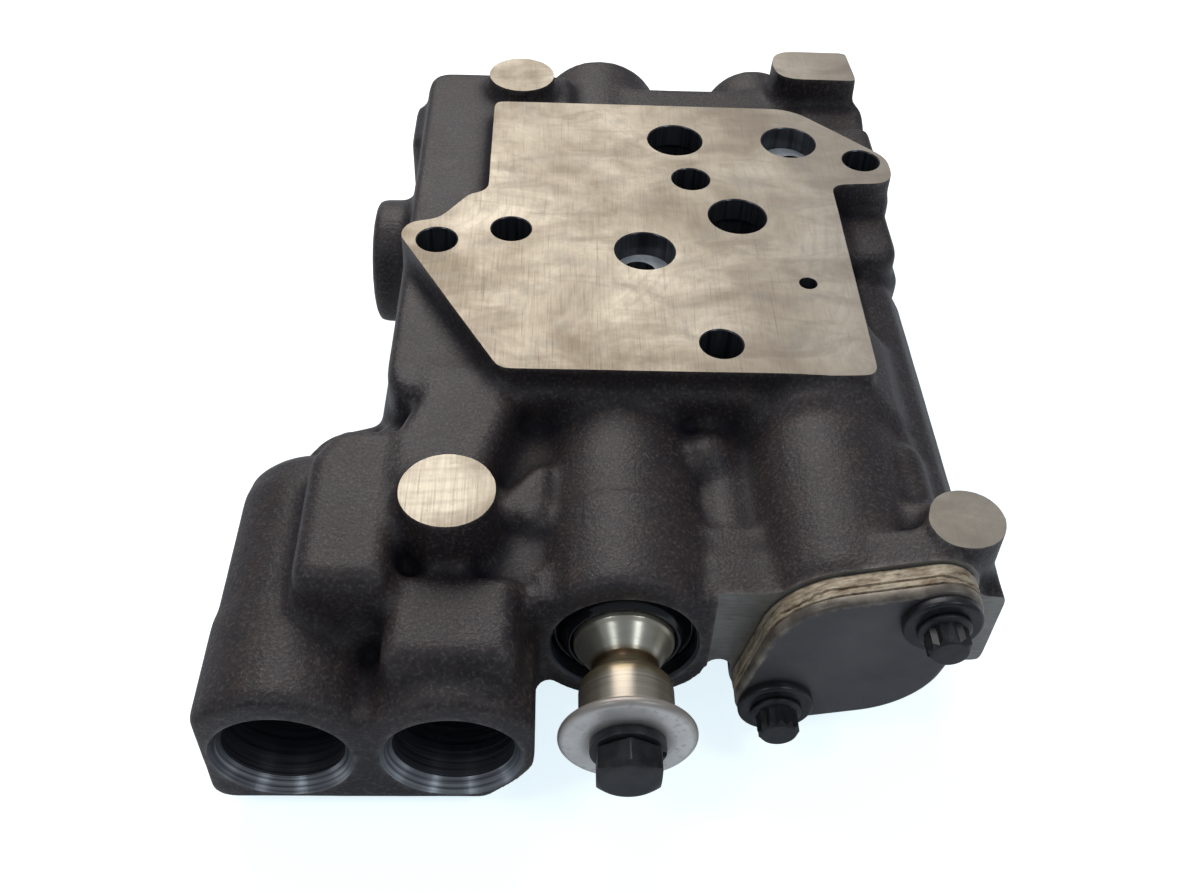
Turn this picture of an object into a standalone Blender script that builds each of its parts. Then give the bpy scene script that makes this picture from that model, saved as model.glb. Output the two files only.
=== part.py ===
"""Hydraulic selector valve: cast body, selector spool and covered relief bore.

Units are metres, +Z is up.  The origin lies on the ground port face, a little right
of the selector spool's axis.  The spool's bolted end points along -Y, the front.
"""

import math

import bmesh
import bpy
from mathutils import Vector

# Clearances
SEAT_GAP = 0.0003
RUNNING_GAP = 0.0003

# Facets of round work
ROUND_STEPS = 32
SMALL_STEPS = 20

# Casting habits
DRAFT = math.tan(math.radians(2.0))
EDGE_ROUND = 0.0022
FORM_STEP = 0.0004

# Heights below the port face
DECK_DROP = 0.0060
BASE_DEPTH = 0.0630
FOOT_HEIGHT = 0.0180
BELT_TOP = 0.0180
BELT_BOTTOM = 0.0500
DECK_BOTTOM = 0.0400

# Port plate
PLATE_LEFT = -0.0370
PLATE_RIGHT = 0.0630
PLATE_FRONT = -0.0608
PLATE_BACK = 0.0633
PLATE_THICKNESS = 0.0120
EAR_REACH = 0.0104
LEFT_EAR_BOLT = (-0.0498, -0.0093)
RIGHT_EAR_BOLT = (0.0741, 0.0350)

# Holes in the port face
BOLT_HOLE_RADIUS = 0.0055
CENTRE_BOLT = (0.0218, 0.0229)
LEFT_BOLT = (-0.0298, -0.0036)
FRONT_BOLT = (0.0245, -0.0501)
PORT_RADIUS = 0.0082
SUPPLY_PORT = (0.0068, -0.0122)
CLUTCH_PORT = (0.0184, 0.0436)
RELIEF_PORT = (0.0532, 0.0440)
DRAIN_PORT = (0.0338, 0.0049)
PILOT_RADIUS = 0.0024
PILOT_PORT = (0.0499, -0.0249)

# Main walls
LEFT_WALL = -0.0600
RIGHT_WALL = 0.0845
BACK_WALL = 0.0925
FRONT_WALL = -0.0640
WALL_CORNER = 0.0080
BELT_REACH = 0.0015
BELT_INSET = 0.0064

# Selector bore and its barrel
SPOOL_X = -0.0007
SPOOL_DEPTH = 0.0306
SPOOL_RADIUS = 0.0116
BARREL_RADIUS = 0.0232
BARREL_STEP = 0.0009
BARREL_STEP_Y = -0.0926
BARREL_FRONT = -0.1206
COUNTERBORE_RADIUS = 0.0168
COUNTERBORE_DEPTH = 0.0140
BARREL_FLANGE_LEFT = -0.0227
BARREL_FLANGE_RIGHT = 0.0190
BARREL_FLANGE_TOP = 0.0146
BARREL_FLANGE_BOTTOM = 0.0420
REAR_BARREL_RADIUS = 0.0213
REAR_BARREL_SHIFT = -0.0026
REAR_BARREL_END = 0.1095
GALLERY_RADIUS = 0.0160
GALLERY_WIDTH = 0.0150

# Selector spool
SPOOL_STROKE = 0.0080
SPOOL_REAR = 0.0820
SPOOL_NECK_RADIUS = 0.00705
SPOOL_TIP_RADIUS = 0.01065
SPOOL_WAIST_RADIUS = 0.0085
SPOOL_CONE = -0.1215
SPOOL_NECK = -0.1270
SPOOL_TIP_LAND = -0.1322
SPOOL_TIP = -0.1429

# Washers and bolt on the spool's end
END_WASHER_RADIUS = 0.01525
END_WASHER_THICKNESS = 0.0025
LOCK_WASHER_RADIUS = 0.0084
LOCK_WASHER_THICKNESS = 0.0023
LOCK_WASHER_SLOT = 0.0018
BOLT_SHANK_RADIUS = 0.00476
END_BOLT_FLATS = 0.0143
END_BOLT_HEAD = 0.0064
END_BOLT_REACH = 0.0180
TAPPED_SPARE = 0.0020

# Shaft seal in the counterbore
SEAL_FRONT = -0.1200
SEAL_LIP_RADIUS = 0.0140
SEAL_SHELL_FRONT = -0.1167
SEAL_SHELL_WALL = 0.0010

# Plug behind the spool
PLUG_HOLE_RADIUS = 0.0140
PLUG_REACH = 0.0120
PLUG_FLANGE_RADIUS = 0.0172
PLUG_FLANGE = 0.0032
PLUG_WASHER = 0.0012
PLUG_SOCKET_FLATS = 0.0080
PLUG_SOCKET_DEPTH = 0.0060

# Relief bore and its barrel
RELIEF_X = 0.0510
RELIEF_DEPTH = 0.0275
RELIEF_BARREL_RADIUS = 0.0232
RELIEF_COLLAR = 0.0022
RELIEF_COLLAR_FRONT = -0.0690
RELIEF_BORE_RADIUS = 0.0140
RELIEF_HUMP_RADIUS = 0.0170
FACE_LEFT = 0.0176
FACE_Y = -0.1180
FACE_TOP = 0.0140
FACE_BOTTOM = 0.0389
FACE_THICKNESS = 0.0100
SHELF_BACK = -0.0965
VALLEY_FLOOR = 0.0240

# Cover over the relief bore
COVER_RADIUS = 0.0215
COVER_EAR_RADIUS = 0.0092
COVER_BOLT_OFFSET = (0.0159, 0.0163)
COVER_MARGIN = 0.0008
COVER_OPENING = 0.0125
SPACER_THICKNESS = 0.0040
GASKET_THICKNESS = 0.0008
COVER_THICKNESS = 0.0026
COVER_BEVEL = 0.0012
COVER_WASHER_RADIUS = 0.0088
COVER_WASHER_THICKNESS = 0.0024
COVER_BOLT_FLANGE = 0.0062
COVER_BOLT_FLANGE_HEIGHT = 0.0014
COVER_BOLT_POINTS = 12
COVER_BOLT_POINT_RADIUS = 0.0053
COVER_BOLT_HEAD = 0.0064
COVER_BOLT_REACH = 0.0180

# Pieces inside the relief bore
PISTON_FRONT = -0.1090
PISTON_LENGTH = 0.0280
PISTON_WALL = 0.0028
SPRING_SEAT_Y = -0.0560
SPRING_SEAT_THICKNESS = 0.0030
SPRING_SEAT_HOLE = 0.0050
SHIM_THICKNESS = 0.0009
SHIM_COUNT = 2
RELIEF_SPOOL_FRONT = -0.0200
RELIEF_SPOOL_LENGTH = 0.0900
RELIEF_WAIST_RADIUS = 0.0085
RELIEF_END_ROOM = 0.0100
RELIEF_END_WALL = 0.0280
RELIEF_BORE_END = RELIEF_SPOOL_FRONT + RELIEF_SPOOL_LENGTH + RELIEF_END_ROOM
RELIEF_HUMP_END = RELIEF_BORE_END + RELIEF_END_WALL
SPRING_RADIUS = 0.0092
LOAD_SPRING_WIRE = 0.0013
LOAD_SPRING_TURNS = 6
RELIEF_SPRING_WIRE = 0.0011
RELIEF_SPRING_TURNS = 6

# Travel stop in the left boss
STOP_Y = 0.0206
STOP_BOSS_RADIUS = 0.0184
STOP_BOSS_FACE = -0.0703
STOP_BORE_RADIUS = 0.0058
STOP_PIN_RADIUS = 0.0030
STOP_PIN_HEAD = 0.0054
STOP_PLUG_THREAD = 0.0100
STOP_PLUG_REACH = 0.0110
STOP_PLUG_RECESS = 0.0006
STOP_PLUG_FLATS = 0.0080
STOP_PLUG_SOCKET = 0.0060

# Plug in the right wall
SIDE_PLUG_Y = 0.0790
SIDE_PLUG_DEPTH = 0.0210
SIDE_BOSS_RADIUS = 0.0120
SIDE_PLUG_RADIUS = 0.0085
SIDE_PLUG_LENGTH = 0.0060

# Front block with its two open bores
BLOCK_FRONT = -0.1456
BLOCK_LEFT = -0.0933
BLOCK_RIGHT = -0.0207
BLOCK_BOTTOM = 0.0562
LOBE_RADIUS = 0.0220
LEFT_BORE_X = -0.0755
RIGHT_BORE_X = -0.0385
FRONT_BORE_DEPTH = 0.0380
FRONT_BORE_RADIUS = 0.0140
FRONT_BORE_CHAMFER = 0.0015
FRONT_BORE_SHELF = 0.0300
FRONT_BORE_INNER = 0.0105
FRONT_BORE_LENGTH = 0.0620

# Bosses ground level with the port face
REAR_PAD = (-0.0289, 0.0801)
REAR_PAD_RADIUS = 0.0105
FRONT_PAD = (-0.0410, -0.1009)
FRONT_PAD_RADIUS = 0.0110
RIGHT_PAD = (0.0742, -0.1072)
RIGHT_PAD_RADIUS = 0.0086
SADDLE_PAD_LEFT = 0.0530
SADDLE_PAD_RIGHT = 0.0817
SADDLE_PAD_FRONT = 0.0812
SADDLE_PAD_BACK = 0.1016

# Colours as read off the object
CAST_COLOUR = (0.035, 0.030, 0.030)
STEEL_COLOUR = (0.50, 0.48, 0.45)
BRONZE_COLOUR = (0.42, 0.33, 0.20)
BLACK_COLOUR = (0.018, 0.018, 0.020)
RUBBER_COLOUR = (0.012, 0.012, 0.013)
SPACER_COLOUR = (0.34, 0.27, 0.19)
GASKET_COLOUR = (0.06, 0.05, 0.04)
COVER_COLOUR = (0.06, 0.06, 0.065)

# Directions in which a solid's height runs
UP = (0.0, 0.0, 0.0)
FRONT = (math.pi / 2, 0.0, 0.0)
BACK = (-math.pi / 2, 0.0, 0.0)
LEFT = (0.0, -math.pi / 2, 0.0)
RIGHT = (0.0, math.pi / 2, 0.0)


# Scene and materials

def clear_scene():
    for item in list(bpy.data.objects):
        bpy.data.objects.remove(item)


def new_collection(name):
    group = bpy.data.collections.new(name)
    bpy.context.scene.collection.children.link(group)
    return group


def make_material(name, colour, roughness, metallic):
    material = bpy.data.materials.new(name)
    material.use_nodes = True
    shader = material.node_tree.nodes["Principled BSDF"]
    shader.inputs["Base Color"].default_value = (*colour, 1.0)
    shader.inputs["Roughness"].default_value = roughness
    shader.inputs["Metallic"].default_value = metallic
    return material


def add_object(name, data, group, turn, place):
    item = bpy.data.objects.new(name, data)
    group.objects.link(item)
    item.rotation_euler = turn
    item.location = place
    return item


# Outlines

def arc(centre, radius, start, end, steps):
    """Points round an arc, its angles in degrees."""
    points = []
    for step in range(steps + 1):
        angle = math.radians(start + (end - start) * step / steps)
        points.append((centre[0] + radius * math.cos(angle), centre[1] + radius * math.sin(angle)))
    return points


def polygon(sides, across_flats, phase=0.0):
    radius = across_flats / 2 / math.cos(math.pi / sides)
    return arc((0.0, 0.0), radius, phase, phase + 360.0 * (sides - 1) / sides, sides - 1)


def anticlockwise(points):
    area = 0.0
    for index in range(len(points)):
        area += points[index - 1][0] * points[index][1] - points[index][0] * points[index - 1][1]
    return list(points) if area > 0 else list(reversed(points))


def inset(points, distance):
    """Outline moved inwards by a distance; the points run anticlockwise."""
    moved = []
    count = len(points)
    for index in range(count):
        here = Vector(points[index][:2])
        before = (here - Vector(points[index - 1][:2])).normalized()
        after = (Vector(points[(index + 1) % count][:2]) - here).normalized()
        normal = Vector((-before.y - after.y, before.x + after.x)).normalized()
        stretch = max(0.4, normal.dot(Vector((-before.y, before.x))))
        here = here + normal * (distance / stretch)
        moved.append((here.x, here.y))
    return moved


def rounded(corners, steps=4):
    """Outline through corners given as x, y and radius, each corner a smooth bend."""
    points = []
    count = len(corners)
    for index, (x, y, radius) in enumerate(corners):
        here = Vector((x, y))
        before = Vector(corners[index - 1][:2]) - here
        after = Vector(corners[(index + 1) % count][:2]) - here
        half = before.angle(after) / 2
        reach = min(radius / math.tan(half), before.length * 0.48, after.length * 0.48)
        first = here + before.normalized() * reach
        last = here + after.normalized() * reach
        for step in range(steps + 1):
            share = step / steps
            point = first.lerp(here, share).lerp(here.lerp(last, share), share)
            points.append((point.x, point.y))
    return points


def from_points(points):
    """Shape whose outline at any inset is the moved list of points."""
    points = anticlockwise(points)
    return lambda distance: inset(points, distance)


def from_corners(corners, steps=4):
    """Shape with rounded corners; an inset makes outer radii smaller, inner ones larger."""
    plain = [corner[:2] for corner in corners]
    if anticlockwise(plain) != plain:
        corners = list(reversed(corners))

    def outline(distance):
        moved = inset(corners, distance)
        result = []
        for index, (x, y) in enumerate(moved):
            ahead = Vector(corners[(index + 1) % len(corners)][:2]) - Vector(corners[index][:2])
            behind = Vector(corners[index][:2]) - Vector(corners[index - 1][:2])
            turn = behind.x * ahead.y - behind.y * ahead.x
            radius = corners[index][2] - distance if turn > 0 else corners[index][2] + distance
            result.append((x, y, max(radius, 0.0003)))
        return rounded(result, steps)

    return outline


# Solids

def loft(name, rings, group, turn=UP, place=(0.0, 0.0, 0.0)):
    """Closed solid through outlines with equal point counts, lowest first."""
    work = bmesh.new()
    loops = []
    for points, height in rings:
        loops.append([work.verts.new((x, y, height)) for x, y in points])
    work.faces.new(list(reversed(loops[0])))
    work.faces.new(loops[-1])
    count = len(loops[0])
    for low, high in zip(loops, loops[1:]):
        for index in range(count):
            after = (index + 1) % count
            work.faces.new((low[index], low[after], high[after], high[index]))
    mesh = bpy.data.meshes.new(name)
    work.to_mesh(mesh)
    work.free()
    return add_object(name, mesh, group, turn, place)


def prism(name, shape, low, high, group, draft=0.0, turn=UP, place=(0.0, 0.0, 0.0), edge=0.0):
    """Shape carried from one height to another; draft narrows it, edge rounds its top."""
    top = draft * (high - low)
    rings = [(shape(0.0), low)]
    if edge > 0.0:
        rings.append((shape(top - draft * edge), high - edge))
        rings.append((shape(top + edge * 0.3), high - edge * 0.3))
        rings.append((shape(top + edge), high))
    else:
        rings.append((shape(top), high))
    return loft(name, rings, group, turn, place)


def turned(name, profile, group, turn, place, steps=ROUND_STEPS, bore=None, spin=0.0):
    """Solid of revolution; the profile lists station and radius, lowest station first.

    A bore, given as radius and depth, opens in the high end.  Spin turns the facets.
    """
    top = profile[-1][0]
    if bore is None:
        points = [(0.0, top)]
    else:
        radius, depth = bore
        points = [(0.0, top - depth), (radius, top - depth), (radius, top)]
    points += [(radius, station) for station, radius in reversed(profile)]
    points.append((0.0, profile[0][0]))
    return revolve(name, points, False, group, turn, place, steps, spin)


def turned_ring(name, section, group, turn, place, steps=ROUND_STEPS):
    """Ring turned from a closed section of stations and radii."""
    points = anticlockwise([(radius, station) for station, radius in section])
    points.reverse()
    return revolve(name, points, True, group, turn, place, steps)


def flat_ring(name, inner, outer, low, high, group, turn, place, steps=ROUND_STEPS):
    section = [(low, inner), (low, outer), (high, outer), (high, inner)]
    return turned_ring(name, section, group, turn, place, steps)


def revolve(name, points, closed, group, turn, place, steps, spin=0.0):
    work = bmesh.new()
    verts = [work.verts.new((x * math.cos(spin), x * math.sin(spin), z)) for x, z in points]
    for first, last in zip(verts, verts[1:]):
        work.edges.new((first, last))
    if closed:
        work.edges.new((verts[-1], verts[0]))
    mesh = bpy.data.meshes.new(name)
    work.to_mesh(mesh)
    work.free()
    item = add_object(name, mesh, group, turn, place)
    screw = item.modifiers.new("Turn", "SCREW")
    screw.axis = "Z"
    screw.steps = steps
    screw.render_steps = steps
    screw.use_merge_vertices = True
    screw.merge_threshold = 0.00001
    screw.use_smooth_shade = False
    return item


def cylinder(name, radius, start, end, group, turn, place, steps=ROUND_STEPS, spin=0.0):
    return turned(name, [(start, radius), (end, radius)], group, turn, place, steps, spin=spin)


def drilled(name, profile, group, turn, place, steps=ROUND_STEPS):
    """Turned cutter whose facets sit half a step round from those of the forms."""
    return turned(name, profile, group, turn, place, steps, spin=math.pi / steps)


def boolean(item, tool, operation):
    step = item.modifiers.new(operation.title(), "BOOLEAN")
    step.operation = operation
    step.solver = "EXACT"
    step.object = tool


def hide_tools(group):
    for tool in group.objects:
        tool.hide_render = True
        tool.display_type = "WIRE"


def settle(group):
    """Turn each piece's modifiers into its mesh and shade its round faces smooth."""
    graph = bpy.context.evaluated_depsgraph_get()
    settled = []
    for item in group.objects:
        mesh = bpy.data.meshes.new_from_object(item.evaluated_get(graph), depsgraph=graph)
        settled.append((item, mesh))
    for item, mesh in settled:
        material = item.data.materials[0]
        if item.type == "CURVE":
            place = item.matrix_world.copy()
            name = item.name
            bpy.data.objects.remove(item)
            item = bpy.data.objects.new(name, mesh)
            group.objects.link(item)
            item.matrix_world = place
            weld_caps(mesh)
        item.modifiers.clear()
        item.data = mesh
        mesh.materials.clear()
        mesh.materials.append(material)
        mesh.shade_smooth()
        mesh.set_sharp_from_angle(angle=math.radians(32))


def weld_caps(mesh):
    work = bmesh.new()
    work.from_mesh(mesh)
    bmesh.ops.remove_doubles(work, verts=work.verts, dist=0.000002)
    work.to_mesh(mesh)
    work.free()


# Places on the bores' axes

def on_spool(y=0.0):
    return (SPOOL_X, y, -SPOOL_DEPTH)


def on_relief(y=0.0):
    return (RELIEF_X, y, -RELIEF_DEPTH)


def bolt_holes():
    return {
        "left_ear": LEFT_EAR_BOLT,
        "right_ear": RIGHT_EAR_BOLT,
        "centre_bolt": CENTRE_BOLT,
        "left_bolt": LEFT_BOLT,
        "front_bolt": FRONT_BOLT,
    }


def cover_bolts():
    """Bolt axes of the cover, in X and Z measured from the relief bore."""
    dx, dz = COVER_BOLT_OFFSET
    return {"upper": (dx, dz), "lower": (-dx, -dz)}


def oval_shape(margin=0.0):
    """Two-bolt oval in X and Z measured from the relief bore."""
    big = COVER_RADIUS + margin
    small = COVER_EAR_RADIUS + margin
    dx, dz = COVER_BOLT_OFFSET
    reach = math.hypot(dx, dz)
    lean = math.degrees(math.atan2(dz, dx))
    spread = math.degrees(math.acos((big - small) / reach))
    points = arc((dx, dz), small, lean - spread, lean + spread, 8)
    points += arc((0.0, 0.0), big, lean + spread, lean + 180 - spread, 8)
    points += arc((-dx, -dz), small, lean + 180 - spread, lean + 180 + spread, 8)
    points += arc((0.0, 0.0), big, lean + 180 + spread, lean + 360 - spread, 8)
    return from_points(points)


def plate_shape():
    left_x, left_y = LEFT_EAR_BOLT
    right_x, right_y = RIGHT_EAR_BOLT
    edge_right = right_x + EAR_REACH * 0.8
    edge_left = left_x - EAR_REACH
    return from_corners([
        (PLATE_LEFT + 0.0058, PLATE_FRONT, 0.004),
        (PLATE_RIGHT - 0.0003, PLATE_FRONT, 0.003),
        (PLATE_RIGHT + 0.0003, right_y - 0.0133, 0.002),
        (edge_right, right_y - 0.0116, 0.007),
        (edge_right, right_y + 0.0020, 0.009),
        (PLATE_RIGHT - 0.0068, PLATE_BACK, 0.016),
        (PLATE_LEFT, PLATE_BACK, 0.003),
        (PLATE_LEFT, left_y + 0.0240, 0.002),
        (left_x + 0.0075, left_y + 0.0217, 0.004),
        (left_x - 0.0002, left_y + 0.0098, 0.004),
        (edge_left + 0.0020, left_y + 0.0078, 0.005),
        (edge_left, left_y + 0.0020, 0.004),
    ])


# Casting: forms that are joined

def deck_forms(forms, hollows):
    """Deck round the plate, the saddle at its back and the shelf at its right."""
    right_x, right_y = RIGHT_EAR_BOLT
    deck = prism("deck", from_corners([
        (LEFT_WALL, FRONT_WALL, 0.010),
        (PLATE_RIGHT + 0.004, FRONT_WALL, WALL_CORNER),
        (PLATE_RIGHT + 0.004, right_y - 0.013, 0.003),
        (RIGHT_WALL - 0.001, right_y - 0.013, 0.006),
        (RIGHT_WALL - 0.001, BACK_WALL, WALL_CORNER),
        (LEFT_WALL, BACK_WALL, WALL_CORNER),
    ]), -DECK_BOTTOM, -DECK_DROP, forms, DRAFT * 0.5, edge=EDGE_ROUND)
    saddle = prism("saddle_hollow", from_corners([
        (-0.0120, PLATE_BACK + 0.002, 0.010),
        (0.1200, PLATE_BACK + 0.002, 0.010),
        (0.1200, BACK_WALL + 0.050, 0.010),
        (-0.0120, BACK_WALL + 0.050, 0.010),
    ]), 0.0, 0.0300, hollows, draft=-0.45, place=(0.0, 0.0, -DECK_DROP - 0.0042))
    boolean(deck, saddle, "DIFFERENCE")
    prism("right_shelf", from_corners([
        (0.0500, right_y - 0.0360, 0.003),
        (right_x + 0.0080, right_y - 0.0360, 0.007),
        (right_x + 0.0080, right_y + 0.0200, 0.005),
        (0.0500, right_y + 0.0200, 0.003),
    ]), -DECK_BOTTOM + 0.003, -DECK_DROP - 0.0032, forms, DRAFT * 0.4, edge=EDGE_ROUND)


def belt(group):
    """The wide middle, which the other forms join."""
    return prism("valve_body", from_corners([
        (LEFT_WALL - BELT_REACH, FRONT_WALL - BELT_REACH, WALL_CORNER),
        (RIGHT_WALL - BELT_INSET, FRONT_WALL - BELT_REACH, WALL_CORNER),
        (RIGHT_WALL - BELT_INSET, -0.0060, 0.003),
        (RIGHT_WALL - FORM_STEP, 0.0040, 0.004),
        (RIGHT_WALL - FORM_STEP, BACK_WALL + BELT_REACH, WALL_CORNER),
        (LEFT_WALL - BELT_REACH, BACK_WALL + BELT_REACH, WALL_CORNER),
    ]), -BELT_BOTTOM, -BELT_TOP, group, edge=EDGE_ROUND * 1.6)


def plate_forms(forms):
    """Port plate above and, below, the foot that ends in the base face."""
    plate = plate_shape()
    prism("port_plate", plate, -PLATE_THICKNESS, 0.0, forms)
    prism("foot", lambda distance: plate(distance - 0.0015), -BASE_DEPTH, -BASE_DEPTH + FOOT_HEIGHT, forms)


def rounded_end(start, end, radius):
    """Profile of a barrel whose high end has a rounded rim."""
    return [
        (start, radius),
        (end - EDGE_ROUND, radius),
        (end - EDGE_ROUND * 0.3, radius - EDGE_ROUND * 0.3),
        (end, radius - EDGE_ROUND),
    ]


def spool_barrel_forms(forms, hollows):
    """Round barrel in front, flat on its right side by the relief face, and the one behind."""
    body = [
        (-FRONT_WALL - 0.020, BARREL_RADIUS - BARREL_STEP),
        (-BARREL_STEP_Y, BARREL_RADIUS - BARREL_STEP),
    ]
    body += rounded_end(-BARREL_STEP_Y + BARREL_STEP, -BARREL_FRONT, BARREL_RADIUS)
    barrel = turned("spool_barrel", body, forms, FRONT, on_spool())
    side = BARREL_FLANGE_RIGHT - FORM_STEP
    flat = prism("barrel_side_flat", from_corners([
        (side, -BARREL_FLANGE_BOTTOM - 0.0180, 0.0005),
        (side + 0.0120, -BARREL_FLANGE_BOTTOM - 0.0180, 0.0005),
        (side + 0.0120, -BARREL_FLANGE_TOP + 0.0020, 0.0005),
        (side, -BARREL_FLANGE_TOP + 0.0020, 0.0005),
    ], 1), -FACE_Y - 0.0008, -BARREL_FRONT + 0.0100, hollows, turn=FRONT)
    boolean(barrel, flat, "DIFFERENCE")
    rear = rounded_end(BACK_WALL - 0.040, REAR_BARREL_END, REAR_BARREL_RADIUS)
    turned("rear_barrel", rear, forms, BACK, (REAR_BARREL_SHIFT, 0.0, -SPOOL_DEPTH))
    prism("barrel_flange", from_corners([
        (BARREL_FLANGE_LEFT, -BARREL_FLANGE_BOTTOM, 0.006),
        (BARREL_FLANGE_RIGHT, -BARREL_FLANGE_BOTTOM, 0.003),
        (BARREL_FLANGE_RIGHT, -BARREL_FLANGE_TOP, 0.002),
        (BARREL_FLANGE_LEFT, -BARREL_FLANGE_TOP, 0.004),
    ]), -BARREL_FRONT - FACE_THICKNESS, -BARREL_FRONT - FORM_STEP, forms, turn=FRONT)


def relief_barrel_forms(forms):
    radius = RELIEF_BARREL_RADIUS
    turned("relief_barrel", [
        (-FRONT_WALL - 0.030, radius + RELIEF_COLLAR),
        (-RELIEF_COLLAR_FRONT - 0.004, radius + RELIEF_COLLAR),
        (-RELIEF_COLLAR_FRONT, radius),
        (-FACE_Y - 0.002, radius),
    ], forms, FRONT, on_relief())
    hump = rounded_end(BACK_WALL - 0.030, RELIEF_HUMP_END, RELIEF_HUMP_RADIUS)
    turned("relief_hump", hump, forms, BACK, on_relief())
    prism("cover_pad", oval_shape(COVER_MARGIN), -FACE_Y - FACE_THICKNESS, -FACE_Y, forms, turn=FRONT,
          place=on_relief())
    prism("face_flange", from_corners([
        (FACE_LEFT, -FACE_BOTTOM, 0.0005),
        (RIGHT_WALL, -FACE_BOTTOM, 0.0010),
        (RIGHT_WALL, -FACE_TOP, 0.0012),
        (FACE_LEFT, -FACE_TOP, 0.0005),
    ], 2), -FACE_Y - FACE_THICKNESS - 0.001, -FACE_Y - 0.00002, forms, turn=FRONT)


def right_side_forms(forms):
    """Rail along the right wall, finger rib, the shelf behind the front face and the valley."""
    top = -FACE_TOP
    rail_right = RIGHT_WALL - FORM_STEP * 2
    prism("right_rail", from_corners([
        (0.0300, -FACE_BOTTOM + FORM_STEP, 0.001),
        (rail_right, -FACE_BOTTOM + FORM_STEP, 0.003),
        (rail_right, top - 0.0110, 0.004),
        (0.0785, top - 0.0030, 0.005),
        (0.0720, top - FORM_STEP, 0.003),
        (0.0640, top - FORM_STEP, 0.003),
        (0.0600, top - 0.0060, 0.002),
        (0.0300, top - 0.0060, 0.001),
    ]), 0.004, -FACE_Y - 0.003, forms, turn=FRONT)
    prism("front_shelf", from_corners([
        (0.0060, FACE_Y + 0.0040, 0.003),
        (0.0720, FACE_Y + 0.0040, 0.003),
        (0.0720, SHELF_BACK, 0.003),
        (0.0060, SHELF_BACK, 0.003),
    ]), -FACE_BOTTOM + 0.0030, top - 0.0008, forms, edge=EDGE_ROUND)
    prism("valley_floor", from_corners([
        (0.0090, SHELF_BACK - 0.0080, 0.003),
        (0.0690, SHELF_BACK - 0.0080, 0.003),
        (0.0690, FRONT_WALL + 0.0040, 0.003),
        (0.0090, FRONT_WALL + 0.0040, 0.003),
    ]), -FACE_BOTTOM + 0.0036, -VALLEY_FLOOR, forms, edge=EDGE_ROUND)
    turned("finger_rib", [
        (0.0730, 0.0020),
        (0.0738, 0.0042),
        (0.0755, 0.0056),
        (0.0780, 0.0062),
        (0.1120, 0.0062),
    ], forms, FRONT, (0.0675, 0.0, -0.0150), SMALL_STEPS)


def pad_forms(forms):
    """Round and D-shaped bosses whose tops are ground level with the port face."""
    bosses = (
        ("rear_pad_boss", REAR_PAD, REAR_PAD_RADIUS, 0.0200),
        ("front_pad_boss", FRONT_PAD, FRONT_PAD_RADIUS, 0.0290),
        ("right_pad_boss", RIGHT_PAD, RIGHT_PAD_RADIUS, 0.0280),
    )
    for name, (x, y), radius, height in bosses:
        profile = [(-height, radius + height * DRAFT), (0.0, radius)]
        turned(name, profile, forms, UP, (x, y, 0.0), SMALL_STEPS + 8)
    width = SADDLE_PAD_BACK - SADDLE_PAD_FRONT
    prism("saddle_pad_boss", from_corners([
        (SADDLE_PAD_LEFT, SADDLE_PAD_FRONT, width * 0.46),
        (SADDLE_PAD_RIGHT, SADDLE_PAD_FRONT, 0.001),
        (SADDLE_PAD_RIGHT - 0.001, SADDLE_PAD_BACK, 0.001),
        (SADDLE_PAD_LEFT, SADDLE_PAD_BACK, width * 0.46),
    ], 6), -0.0290, 0.0, forms, draft=DRAFT)


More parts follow.
